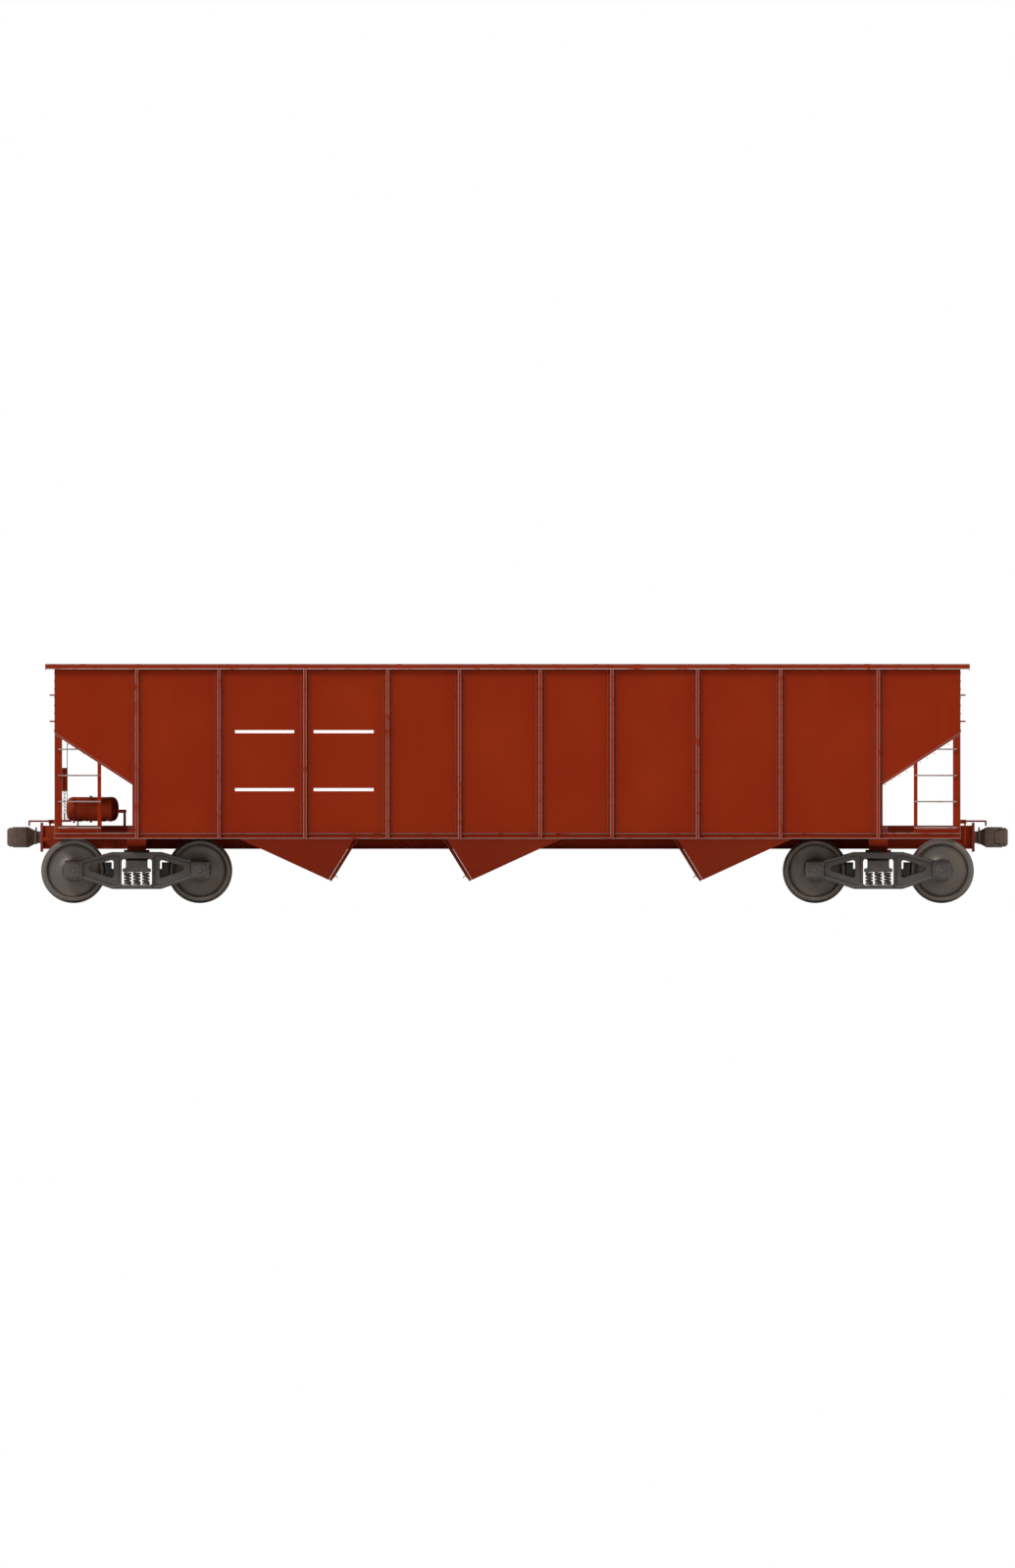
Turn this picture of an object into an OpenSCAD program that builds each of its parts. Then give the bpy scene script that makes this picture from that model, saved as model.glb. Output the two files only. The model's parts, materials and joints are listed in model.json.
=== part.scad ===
// Open-top hopper wagon with three bottom outlets, on two four-wheel trucks.
// All sizes in millimetres. +X runs along the wagon, +Z up, the floor is at z = 0
// and the wheels stand on their flange tips. End "a" is at -X and end "b" at +X.

/* [Body] */
// Length over the corner posts
body_len = 12390; // [10300:10:14900]
// Clear width between the side sheets
inside_w = 2946; // [2450:2:3540]
// Height from the foot of the side sills to the top of the chords
body_h = 2394; // [1990:2:2880]
// Height of the foot of the side sills above the floor
sill_z = 880; // [860:1:920]
// Thickness of the body sheets
sheet_t = 8; // [6:0.5:12]
// Height of the upright part of the end sheets, below the chord's top
end_drop = 968; // [800:2:1160]
// Depth of the top chords
chord_h = 77; // [60:1:100]
// How far the chords and end caps stand out past the ends
chord_over = 128; // [60:1:160]
// Depth of the lip under each end cap
cap_lip = 98; // [80:1:140]
// Depth of the side sills
side_sill_h = 73; // [60:1:90]
// How far the side sills stand out from the sheets
side_sill_t = 30; // [16:1:50]
// Metal thickness of the side sills and the chords
angle_t = 8; // [6:0.5:12]

/* [Posts and ladders] */
// Width of a side post's crown
post_w = 44; // [36:1:60]
// How far a side post stands out from the sheet
post_d = 94; // [70:1:110]
// Width of a side post's flange, each side
post_flange = 38; // [24:1:50]
// Metal thickness of a side post
post_t = 6; // [4:0.5:8]
// Width of a corner post's legs
corner_w = 105; // [80:1:130]
// Width of the inner ladder stile
stile_w = 51; // [40:1:70]
// Distance from the wagon's end to the stile's middle
stile_in = 614; // [500:1:760]
// Height of the lowest rung above the side sill's foot
rung_first = 150; // [130:1:180]
// Distance between rungs
rung_step = 358; // [300:1:400]
// Diameter of rungs and grab irons
rung_d = 20; // [16:1:26]
// How far a rung stands out from its stile
rung_out = 60; // [45:1:75]

/* [Hoppers] */
// Height of the outlets' lowest edge above the floor
outlet_z = 317; // [280:1:380]
// Slope of the chute floors, in degrees
floor_deg = 24.7; // [22:0.1:30]
// Slope of the outlet doors, in degrees
door_deg = 58.3; // [52:0.1:66]
// Distance from the truck centre to the first outlet's lowest edge
hopper_in_a = 2623; // [2550:1:3100]
// Distance from the truck centre to the last outlet's lowest edge
hopper_in_b = 2401; // [2350:1:2880]
// Place of the middle outlet between the other two, as a share
mid_share = 0.384; // [0.34:0.002:0.44]
// Height of the cross ridges above the chutes' mouths
ridge_h = 442; // [360:1:520]
// Width across the two chutes at their foot
outlet_w = 1900; // [1600:2:2300]

/* [Underframe] */
// Clear width between the webs of the centre sill
sill_gap = 328; // [300:1:340]
// Depth of the centre sill
sill_depth = 320; // [290:1:340]
// Height of the couplers' centre line above the floor
coupler_z = 901; // [880:1:920]
// Height of the centre hood's ridge above the sill
hood_rise = 240; // [180:1:300]
// Distance from the wagon's end to the truck centre
truck_in = 1125; // [1100:1:1200]
// How far the strikers stand out past the wagon's end
striker_out = 193; // [150:1:230]
// Distance from the striker's face to the pulling face
coupler_out = 392; // [370:1:430]

/* [Trucks] */
// Diameter of a wheel's tread
wheel_d = 838; // [760:1:850]
// Height of the wheel flange
flange_h = 25; // [22:0.5:29]
// Distance between the backs of the two wheels on an axle
wheel_back = 1353; // [1345:0.5:1360]
// Distance between the axles of a truck
wheelbase = 1727; // [1676:1:1780]
// Distance between the middles of the two side frames
journal_span = 2006; // [1900:1:2100]
// Diameter of the axle journals
journal_d = 152; // [127:1:165]
// Height of the centre bowl's floor above the floor
bowl_z = 680; // [670:1:700]
// Diameter of the body centre plate
plate_d = 350; // [300:1:356]

/* [Clearances] */
// Radial running clearance of pins and journals
pin_gap = 0.3; // [0.2:0.05:0.6]
// Gap between a closed door and its frame
door_gap = 3; // [2:0.5:6]
// Gap between brake shoes and wheel treads
shoe_gap = 12; // [8:1:18]

/* [Hidden] */
$fn = 48;

// Body places
half_len = body_len / 2;
side_in = inside_w / 2;
side_out = side_in + sheet_t;
post_face = side_out + post_d;
top_z = sill_z + body_h;
sheet_top = top_z - angle_t;
break_z = top_z - end_drop;
mouth_z = sill_z + side_sill_h;
truck_x = half_len - truck_in;
edge_x = truck_x + 30;
edge_slope = 0.648;
edge_z = break_z - (half_len - edge_x) * edge_slope;

// Hopper places: the lowest edge of each outlet, and which way its door faces
hop_x1 = -truck_x + hopper_in_a;
hop_x3 = truck_x - hopper_in_b;
hop_x2 = hop_x1 + (hop_x3 - hop_x1) * mid_share;
hop_x = [hop_x1, hop_x2, hop_x3];
hop_dir = [1, -1, -1];
mouth_h = mouth_z - outlet_z;
floor_run = mouth_h / tan(floor_deg);
door_run = mouth_h / tan(door_deg);
ridge_z = mouth_z + ridge_h;
ridge_a = [hop_x1 + door_run, hop_x2 - door_run];
ridge_b = [hop_x2 + floor_run, hop_x3 - door_run];
apex_share = [0.351, 0.384];
apex_a = ridge_a[0] + (ridge_a[1] - ridge_a[0]) * apex_share[0];
apex_b = ridge_b[0] + (ridge_b[1] - ridge_b[0]) * apex_share[1];

// Side posts stand at the trucks and the ridges, and at these distances from the outlets
post_off = [[-1498, -323], [-174, 931], [-69, 1066]];
post_x = concat(
  [-truck_x, apex_a, apex_b, truck_x],
  [for (i = [0 : 2], off = post_off[i]) hop_x[i] + off]
);

// Centre sill places
web_t = 12;
sill_half = sill_gap / 2 + web_t;
sill_flange = 64;
flange_half = sill_half + sill_flange;
sill_bot = coupler_z - sill_depth / 2;
sill_top = coupler_z + sill_depth / 2;
hood_room = 17;
hood_half = flange_half + sheet_t + hood_room;
hood_top = sill_top + hood_rise;
hood_eave = hood_top - hood_half;
chute_in = hood_half - sheet_t;
striker_x = half_len + striker_out;
pull_x = striker_x + coupler_out;
striker_t = 40;
draft_len = 608;
coupler_pin_x = striker_x - draft_len;
draft_pin_r = 32;
knuckle_pin = [-95, -105];
knuckle_pin_r = 20;
pipe_bore_r = 17.5;
pipe_bore_len = 45;
striker_half = 230;
end_sill_w = 110;
end_sill_z = [sill_z + 80, sill_z + 230];

// Truck places
wheel_r = wheel_d / 2;
axle_z = wheel_r + flange_h;
axle_x = wheelbase / 2;
frame_y = journal_span / 2;
seat_r = journal_d / 2 + 15;
rim_w = 140;
brake_bar_h = 60;
brake_bar_x = [-half_len + 320, -half_len + 640];
brake_bar_y = 760;
brake_gear_z = sill_top + brake_bar_h;
hand_brake_y = 853 - side_in;
step_t = 30;
box_x = axle_x + 125;
jaw_x = axle_x - 123.5;
arch_x = axle_x - 93.5;
box_z = [axle_z - 109, axle_z + 131];
jaw_z = [axle_z - 114, axle_z + 141];
frame_outline = [
  [-box_x, box_z[0]], [-jaw_x, jaw_z[0]], [-330, 192], [330, 192], [jaw_x, jaw_z[0]],
  [box_x, box_z[0]], [box_x, box_z[1]], [arch_x, jaw_z[1]], [340, 700], [-340, 700],
  [-arch_x, jaw_z[1]], [-box_x, box_z[1]]
];
spring_z = 250;
spring_top = 425;
panel_x = axle_x - 128.5;
frame_panel = [
  [240, spring_z], [330, spring_z], [panel_x, axle_z - 59], [panel_x, axle_z + 101],
  [335, 650], [240, 650]
];

// Doors: hinge line outside the front plate, near the chute's mouth
hinge_off = 34;
hinge_drop = 97;
function door_pt(up) = [up / tan(door_deg), outlet_z + up];
hinge_up = mouth_h - hinge_drop;
hinge_dx = door_pt(hinge_up)[0] + hinge_off * sin(door_deg);
hinge_z = door_pt(hinge_up)[1] - hinge_off * cos(door_deg);
hinge_len = hinge_up / sin(door_deg);
hinge_r = 16;

rust = "saddlebrown";
dark = "dimgray";
steel = "silver";

// Prism of an X-Z outline between two Y values
module xz(points, y0, y1) {
  translate([0, y1, 0]) rotate([90, 0, 0]) linear_extrude(y1 - y0) polygon(points);
}
// Prism of a Y-Z outline between two X values
module yz(points, x0, x1) {
  translate([x0, 0, 0]) rotate([90, 0, 90]) linear_extrude(x1 - x0) polygon(points);
}
// Block between two corners
module block(low, high) {
  translate(low) cube(high - low);
}
// Round bar along Y
module bar_y(x, z, y0, y1, r) {
  translate([x, y1, z]) rotate([90, 0, 0]) cylinder(h = y1 - y0, r = r);
}
// Round bar along X
module bar_x(y, z, x0, x1, r) {
  translate([x0, y, z]) rotate([0, 90, 0]) cylinder(h = x1 - x0, r = r);
}
module both_sides() {
  children();
  mirror([0, 1, 0]) children();
}
module both_ends() {
  children();
  rotate([0, 0, 180]) children();
}
module mirror_ends() {
  children();
  mirror([1, 0, 0]) children();
}
// Upright thickness of a sloping sheet, given by its upper line
function sheet_drop(line) =
  sheet_t * norm(line[1] - line[0]) / abs(line[1][0] - line[0][0]);
// A sloping sheet's X-Z outline, given by its upper line
function sheet_line(p, q) =
  let (v = sheet_drop([p, q])) [p, q, q - [0, v], p - [0, v]];

// Upper line of the end slopes
slope_a = [[-half_len + sheet_t, break_z], [hop_x1 - floor_run, mouth_z]];
slope_b = [[half_len - sheet_t, break_z], [hop_x3 + floor_run, mouth_z]];

// Space above the sloping sheets, where the load lies
module load_space() {
  xz([
    slope_a[0], slope_a[1], [hop_x1, outlet_z], [ridge_a[0], mouth_z],
    [apex_a, ridge_z], [ridge_a[1], mouth_z], [hop_x2, outlet_z],
    [ridge_b[0], mouth_z], [apex_b, ridge_z], [ridge_b[1], mouth_z],
    [hop_x3, outlet_z], slope_b[1], slope_b[0], [half_len, top_z], [-half_len, top_z]
  ], -side_in, side_in);
}
// Space below the end slopes, which cuts the posts to length
module under_slopes() {
  for (line = [slope_a, slope_b])
    let (v = sheet_drop(line), end = sign(line[0][0]) * (half_len + 1))
      xz([[end, break_z], [line[0][0], break_z], line[0] - [0, v], line[1] - [0, v],
          [line[1][0], 0], [end, 0]], -side_out, side_out);
}

module center_sill() {
  pad = 120;
  end_x = striker_x - striker_t;
  color(rust) union() {
    both_sides() {
      yz([
        [sill_half - web_t, sill_bot], [flange_half, sill_bot],
        [flange_half, sill_bot + web_t], [sill_half, sill_bot + web_t],
        [sill_half, sill_top], [sill_half - web_t, sill_top]
      ], -end_x, end_x);
    }
    block([-end_x, -sill_half, sill_top - web_t], [end_x, sill_half, sill_top]);
    both_ends() {
      block([coupler_pin_x - pad, -sill_half, sill_bot],
            [coupler_pin_x + pad, sill_half, sill_bot + web_t]);
      translate([coupler_pin_x, 0, sill_bot]) cylinder(h = sill_depth, r = draft_pin_r);
    }
  }
}

module sill_hood() {
  color(rust) difference() {
    intersection() {
      load_space();
      difference() {
        yz([[-hood_half, mouth_z], [-hood_half, hood_eave], [0, hood_top],
            [hood_half, hood_eave], [hood_half, mouth_z]], slope_a[0][0], slope_b[0][0]);
        yz([[-chute_in, mouth_z - 1], [-chute_in, hood_eave - 4], [0, hood_top - sheet_t * 1.5],
            [chute_in, hood_eave - 4], [chute_in, mouth_z - 1]], slope_a[0][0] - 1, slope_b[0][0] + 1);
      }
    }
    block([-half_len, -sill_half, sill_bot], [half_len, sill_half, sill_top]);
  }
}

module side_sheet() {
  color(rust) xz([
    [-half_len, sheet_top], [-half_len, break_z], [-edge_x, edge_z], [-edge_x, sill_z],
    [edge_x, sill_z], [edge_x, edge_z], [half_len, break_z], [half_len, sheet_top]
  ], side_in, side_out);
}

module side_posts() {
  color(rust) difference() {
    for (x = post_x) translate([x, side_out, sill_z + angle_t])
      linear_extrude(body_h - chord_h - angle_t) difference() {
        union() {
          translate([-post_w / 2, 0]) square([post_w, post_d]);
          translate([-post_w / 2 - post_flange, 0]) square([post_w + 2 * post_flange, post_t]);
        }
        translate([-post_w / 2 + post_t, -1]) square([post_w - 2 * post_t, post_d - post_t + 1]);
      }
    sill_leg();
  }
}
module sill_leg() {
  block([-half_len, side_out, sill_z], [half_len, side_out + side_sill_t, mouth_z]);
}

module side_sills() {
  gusset_x = half_len - stile_in + stile_w / 2;
  low_z = mouth_z + 13;
  high_z = mouth_z + 93;
  color(rust) both_sides() {
    difference() {
      sill_leg();
      block([-half_len - 1, side_out + angle_t, sill_z + angle_t],
            [half_len + 1, side_out + side_sill_t + 1, mouth_z - angle_t]);
    }
    block([-half_len, side_out, sill_z], [half_len, post_face, sill_z + angle_t]);
    mirror_ends() xz([
      [-half_len, sill_z], [-edge_x, sill_z], [-edge_x, low_z], [-gusset_x, low_z],
      [-gusset_x, high_z], [-half_len, high_z]
    ], side_in, side_out);
  }
}

module top_chords() {
  color(rust) both_sides() yz([
    [side_in, sheet_top], [side_out, sheet_top], [side_out, top_z - chord_h],
    [side_out + angle_t, top_z - chord_h], [side_out + angle_t, sheet_top],
    [post_face - angle_t, sheet_top], [post_face - angle_t, top_z - chord_h],
    [post_face, top_z - chord_h], [post_face, top_z], [side_in, top_z]
  ], -half_len - chord_over, half_len + chord_over);
}

module end_caps() {
  color(rust) mirror_ends() difference() {
    block([half_len - sheet_t, -side_in, top_z - cap_lip], [half_len + chord_over, side_in, top_z]);
    block([half_len - sheet_t - 1, -side_in - 1, top_z - cap_lip - 1],
          [half_len + chord_over - angle_t, side_in + 1, sheet_top]);
  }
}

module end_sheets() {
  color(rust) mirror_ends()
    block([half_len - sheet_t, -side_in, break_z], [half_len, side_in, sheet_top]);
}

module sill_notch() {
  block([-half_len, -sill_half, 0], [half_len, sill_half, sill_top]);
}
module slope_sheet(line) {
  color(rust) difference() {
    xz(sheet_line(line[0], line[1]), -side_in, side_in);
    sill_notch();
  }
}
module cross_ridge(feet, apex) {
  top = [apex, ridge_z];
  left = sheet_line([feet[0], mouth_z], top);
  right = sheet_line(top, [feet[1], mouth_z]);
  color(rust) difference() {
    union() {
      xz(left, -side_in, side_in);
      xz(right, -side_in, side_in);
    }
    sill_notch();
  }
}

// One chute: floor, two cheeks and a front plate with the outlet in it
module chute(x, dir) {
  foot_out = outlet_w / 2;
  v = sheet_t / cos(floor_deg);
  w = sheet_t / sin(door_deg);
  lean = (side_in - foot_out) / mouth_h;
  c = sheet_t * sqrt(1 + lean * lean);
  top = mouth_z;
  dz = 20;
  lug_t = 14;
  translate([x, 0, 0]) mirror([dir > 0 ? 0 : 1, 0, 0]) color(rust) both_sides() difference() {
    intersection() {
      xz([[0, outlet_z], [door_run, top], [-floor_run, top]], 0, side_in);
      yz([[chute_in, outlet_z], [foot_out, outlet_z], [side_in, top], [chute_in, top]],
         -floor_run, door_run);
    }
    intersection() {
      xz([[-w, outlet_z - 1], [door_run - w + dz / tan(door_deg), top + dz],
          [-floor_run - (dz - v) / tan(floor_deg), top + dz], [-1, outlet_z + v - 1]], 0, side_in);
      xz([[-floor_run - dz / tan(floor_deg), top + dz + v], [0, outlet_z + v],
          [door_run + dz, outlet_z + v], [door_run + dz, top + dz + v]], 0, side_in);
      yz([[chute_in + sheet_t, outlet_z - 1], [foot_out - c, outlet_z], [side_in - c + dz * lean, top + dz],
          [chute_in + sheet_t, top + dz]], -floor_run, door_run + dz);
    }
    block([1, chute_in + 30, outlet_z + 14], [door_run + 1, foot_out - dz, hinge_z - dz]);
  }
  translate([x, 0, 0]) mirror([dir > 0 ? 0 : 1, 0, 0]) color(rust) both_sides()
    for (y = [chute_in + 24, foot_out + 14]) difference() {
      translate([0, 0, outlet_z]) rotate([0, -door_deg, 0])
        block([hinge_len - 22, y, -hinge_off - 22], [hinge_len + 50, y + lug_t, 0]);
      bar_y(hinge_dx, hinge_z, y - 1, y + lug_t + 1, hinge_r + pin_gap);
    }
}

// Both doors of a hopper with the beam and hinge bars that join them
module hopper_door(x, dir) {
  plate_z = -door_gap;
  plate_t = 10;
  back_z = plate_z - plate_t;
  low = chute_in + 8;
  wide = outlet_w / 2 - 6;
  plate_len = hinge_len - 28;
  beam_x = 90;
  translate([x, 0, 0]) mirror([dir > 0 ? 0 : 1, 0, 0]) color(rust) union() {
    translate([0, 0, outlet_z]) rotate([0, -door_deg, 0]) {
      both_sides() {
        block([4, low, back_z], [plate_len, wide, plate_z]);
        for (y = [low, wide - 12]) block([4, y, back_z - 32], [plate_len, y + 12, plate_z]);
        for (y = [low + 38, wide - 60]) block([60, y, back_z - 37], [hinge_len + 10, y + 14, back_z]);
      }
      block([beam_x, -wide, back_z - 80], [beam_x + 12, wide, back_z]);
      block([beam_x, -wide, back_z - 12], [beam_x + 90, wide, back_z]);
    }
    both_sides() bar_y(hinge_dx, hinge_z, low, outlet_w / 2 + 40, hinge_r);
  }
}

module end_sills() {
  low = end_sill_z[0];
  high = end_sill_z[1];
  color(rust) mirror_ends() difference() {
    block([half_len - end_sill_w, -side_in, low], [half_len, side_in, high]);
    block([half_len - end_sill_w - 1, -side_in - 1, low + sheet_t],
          [half_len - sheet_t, side_in + 1, high - sheet_t]);
    sill_notch();
    both_sides() for (p = [[corner_w, sheet_t], [sheet_t, corner_w]])
      block([half_len - p[0], side_in - p[1], low - 1], [half_len + 1, side_in + 1, high + 1]);
  }
}

module body_bolsters() {
  half = 130;
  flat_y = 760;
  tip_z = sill_z + 60;
  color(rust) both_ends() translate([truck_x, 0, 0]) {
    both_sides() {
      yz([[flange_half, sill_bot], [flat_y, sill_bot], [side_in, sill_z], [side_in, tip_z],
          [sill_half, sill_top], [sill_half, sill_bot + web_t], [flange_half, sill_bot + web_t]],
         -half, half);
    }
    block([-half, -flat_y, sill_bot - web_t], [half, flat_y, sill_bot]);
    translate([0, 0, bowl_z + 0.5]) cylinder(h = sill_bot - web_t - bowl_z, d = plate_d, $fn = 96);
  }
  color(rust) intersection() {
    under_slopes();
    both_ends() both_sides()
      yz([[sill_half, sill_top], [side_in, tip_z], [side_in, break_z], [0, break_z], [0, sill_top]],
         truck_x - 5, truck_x + 5);
  }
}

module end_posts() {
  color(rust) intersection() {
    under_slopes();
    mirror_ends() both_sides() {
      block([-half_len, side_in - sheet_t, sill_z], [-half_len + corner_w, side_in, break_z]);
      block([-half_len, side_in - corner_w, sill_z], [-half_len + sheet_t, side_in, break_z]);
    }
  }
}

// A rung or grab iron along X, bent back to its two feet
module rung(x0, x1, z, foot_0, foot_1, r) {
  y = side_in + rung_out;
  bar_x(y, z, x0, x1, r);
  for (p = [[x0, foot_0], [x1, foot_1]]) {
    translate([p[0], y, z]) sphere(r = r);
    bar_y(p[0], z, p[1], y, r);
  }
}

module side_ladders() {
  x0 = half_len - stile_in;
  r = rung_d / 2;
  color(rust) {
    intersection() {
      under_slopes();
      both_sides() mirror_ends()
        block([-x0 - stile_w / 2, side_in - 12, sill_z], [-x0 + stile_w / 2, side_in, top_z]);
    }
    both_sides() mirror_ends() for (i = [0 : 3]) {
      z = sill_z + rung_first + i * rung_step;
      x1 = i == 3 ? -half_len + 310 : -x0 + stile_w / 2 - r - 4;
      foot_0 = i == 0 ? side_out : side_in;
      foot_1 = i == 3 ? side_out : foot_0;
      rung(-half_len + 58, x1, z, foot_0, foot_1, r);
    }
  }
}

module end_rungs() {
  r = rung_d / 2;
  far_y = side_in - 520;
  near_y = side_in - 60;
  grab_z = break_z + 180;
  color(rust) intersection() {
    both_ends() {
      for (i = [1, 2, 3])
        bar_y(half_len - 30, sill_z + rung_first + i * rung_step, far_y, side_in - sheet_t, r);
      block([half_len - 60, far_y - 30, end_sill_z[1]], [half_len - sheet_t, far_y, break_z]);
      for (z = [grab_z, grab_z + rung_step]) {
        bar_y(half_len + rung_out, z, far_y, near_y, r);
        for (y = [far_y, near_y]) {
          translate([half_len + rung_out, y, z]) sphere(r = r);
          bar_x(y, z, half_len, half_len + rung_out, r);
        }
      }
    }
    union() {
      under_slopes();
      mirror_ends() block([half_len, -side_in, break_z], [half_len + 200, side_in, top_z]);
    }
  }
}

module brake_platform() {
  step_z = end_sill_z[1];
  color(rust) {
    block([-half_len + 10, hand_brake_y - 280, step_z],
          [-half_len + 230, hand_brake_y + 320, step_z + step_t]);
    for (x = brake_bar_x) {
      block([x, -brake_bar_y, sill_top], [x + sheet_t, brake_bar_y, brake_gear_z]);
      block([x, -brake_bar_y, brake_gear_z - sheet_t], [x + brake_bar_h, brake_bar_y, brake_gear_z]);
    }
  }
}
module hand_brake() {
  wheel_z = 1700;
  plate_x = -half_len + 170;
  case_half = 130;
  plate_half = 150;
  color(rust) {
    translate([-half_len + 50, hand_brake_y, wheel_z]) rotate([0, 90, 0]) {
      rotate_extrude($fn = 96) translate([268, 0]) circle(d = 24);
      translate([0, 0, -20]) cylinder(h = 85, r = 36);
      for (a = [0 : 72 : 359]) rotate([0, 0, a]) translate([20, -11, -5]) cube([245, 22, 10]);
    }
    block([plate_x - 75, hand_brake_y - case_half, wheel_z - 170],
          [plate_x, hand_brake_y + case_half, wheel_z + 150]);
    intersection() {
      block([plate_x, hand_brake_y - plate_half, end_sill_z[1] + step_t],
            [plate_x + 10, hand_brake_y + plate_half, break_z]);
      under_slopes();
    }
  }
}
module brake_cylinder() {
  r = 135;
  y = -480;
  z = brake_gear_z + r;
  x0 = brake_bar_x[0] - 40;
  x1 = x0 + 500;
  color(rust) {
    bar_x(y, z, x0, x1, r);
    bar_x(y, z, x0 - 22, x0, 165);
    bar_x(y, z, x1, x1 + 60, 90);
    bar_x(y, z, x1 + 60, x1 + 200, 24);
  }
}
module air_reservoir() {
  r = 165;
  y = 480;
  z = brake_gear_z + r;
  x0 = brake_bar_x[0] - 160;
  x1 = x0 + 330;
  color(rust) {
    bar_x(y, z, x0, x1, r);
    bar_x(y, z, x1, x1 + 20, r + 20);
    bar_x(y, z, x1 + 20, x1 + 390, r);
  }
}
module control_valve() {
  z = brake_gear_z;
  x0 = brake_bar_x[0];
  x1 = brake_bar_x[1] + brake_bar_h;
  mid_x = x0 + 160;
  body = 190;
  color(rust) {
    block([mid_x - 100, -90, z], [mid_x + 100, 90, z + body]);
    bar_y(mid_x, z + 100, -body, body, 70);
    both_sides() bar_y(mid_x, z + 100, body, body + 20, 86);
    block([x0, -60, z], [mid_x - 100, 60, z + 20]);
    block([mid_x + 100, -60, z], [x1, 60, z + 20]);
  }
}
module train_pipe() {
  y = 380;
  z = 870;
  r = 21;
  x0 = half_len - 400;
  mouth_x = half_len + 150;
  cock_x = mouth_x - 95;
  plate_x = striker_x - striker_t;
  color(rust) both_ends() difference() {
    union() {
      bar_x(y, z, x0, mouth_x - 60, r);
      translate([x0, y, z]) sphere(r = r);
      bar_y(x0, z, sill_half, y, r);
      bar_x(y, z, cock_x, mouth_x, 31);
      translate([mouth_x - 60, y, z]) cylinder(h = 50, r = 17);
      block([mouth_x - 120, y - 9, z + 42], [mouth_x - 48, y + 9, z + 54]);
      block([plate_x, striker_half, z - 30], [plate_x + 12, y - 25, z + 30]);
      block([cock_x, y - 60, z - 30], [plate_x + 12, y - 25, z + 30]);
    }
    bar_x(y, z, mouth_x - pipe_bore_len, mouth_x + 1, pipe_bore_r);
  }
}
module uncoupling_levers() {
  x = half_len + 60;
  z = sill_top + 60;
  r = 12;
  in_y = -20;
  out_y = 93 - side_in;
  tip_x = pull_x - 240;
  tip_z = coupler_z + 155;
  handle = 330;
  color(rust) both_ends() {
    bar_y(x, z, out_y, in_y, r);
    translate([x, in_y, z]) sphere(r = r);
    bar_x(in_y, z, x, tip_x, r);
    translate([tip_x, in_y, z]) sphere(r = r);
    translate([tip_x, in_y, tip_z]) cylinder(h = z - tip_z, r = r);
    translate([x, out_y, z]) sphere(r = r);
    translate([x, out_y, z - handle]) cylinder(h = handle, r = r);
    for (y = [out_y + 90, -420]) block([half_len, y, z - 34], [x + 20, y + 14, z + 20]);
  }
}
module strikers() {
  color(rust) both_ends() difference() {
    block([striker_x - striker_t, -striker_half, sill_bot - striker_t],
          [striker_x, striker_half, sill_top + striker_t]);
    block([striker_x - striker_t - 1, -sill_gap / 2 + 10, coupler_z - 88],
          [striker_x + 1, sill_gap / 2 - 10, coupler_z + 94]);
  }
}

module coupler() {
  head_h = 140;
  shank_h = 82;
  shank_half = 65;
  eye_x = pull_x + knuckle_pin[0];
  jaw_h = 90;
  color(rust) difference() {
    union() {
      block([coupler_pin_x, -shank_half, coupler_z - shank_h],
            [pull_x - 320, shank_half, coupler_z + shank_h]);
      translate([coupler_pin_x, 0, coupler_z - shank_h]) cylinder(h = 2 * shank_h, r = shank_half);
      intersection() {
        translate([pull_x, 0, coupler_z - head_h]) linear_extrude(2 * head_h) polygon([
          [-335, -65], [-250, -150], [-130, -178], [-80, -172], [-40, -128], [-55, -75], [-110, -30],
          [-120, 20], [-105, 70], [-30, 100], [18, 128], [34, 158], [16, 182], [-60, 178],
          [-200, 150], [-335, 65]
        ]);
        translate([pull_x, 0, coupler_z]) xz([
          [-336, -shank_h], [-230, -head_h], [-20, -head_h], [36, -96],
          [36, 96], [-20, head_h], [-230, head_h], [-336, shank_h]
        ], -200, 200);
      }
      block([pull_x - 345, -110, coupler_z - 96], [pull_x - 322, 110, coupler_z + 140]);
    }
    translate([coupler_pin_x, 0, 0]) cylinder(h = 2000, r = draft_pin_r + pin_gap);
    difference() {
      union() {
        translate([eye_x, knuckle_pin[1], coupler_z - jaw_h]) cylinder(h = 2 * jaw_h, r = 75);
        block([eye_x - 1, -200, coupler_z - jaw_h], [pull_x, -40, coupler_z + jaw_h]);
        block([eye_x - 75, -130, coupler_z - jaw_h], [eye_x + 5, 30, coupler_z + jaw_h]);
      }
      translate([eye_x, knuckle_pin[1], coupler_z - 200]) cylinder(h = 400, r = knuckle_pin_r);
    }
  }
}
module knuckle() {
  hub_h = 85;
  nose_h = 130;
  nose = [[6, -150], [20, -158], [52, -120], [64, -66], [52, -22], [18, -4], [0, -20], [0, -62]];
  color(rust) translate([pull_x, 0, coupler_z]) difference() {
    union() {
      translate([knuckle_pin[0], knuckle_pin[1], -hub_h]) cylinder(h = 2 * hub_h, r = 62);
      translate([0, 0, -hub_h]) linear_extrude(2 * hub_h) polygon([
        [-120, -160], [-40, -172], [20, -158], [52, -120], [64, -66], [52, -22], [18, -4], [0, -20],
        [0, -62], [-30, -78], [-70, -60], [-105, 8], [-150, 8], [-150, -50]
      ]);
      intersection() {
        translate([0, 0, -nose_h]) linear_extrude(2 * nose_h) polygon(nose);
        xz([[-1, -nose_h], [30, -nose_h], [66, -96], [66, 96], [30, nose_h], [-1, nose_h]], -200, 0);
      }
    }
    translate([knuckle_pin[0], knuckle_pin[1], -100]) cylinder(h = 200, r = knuckle_pin_r + pin_gap);
  }
}

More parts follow.
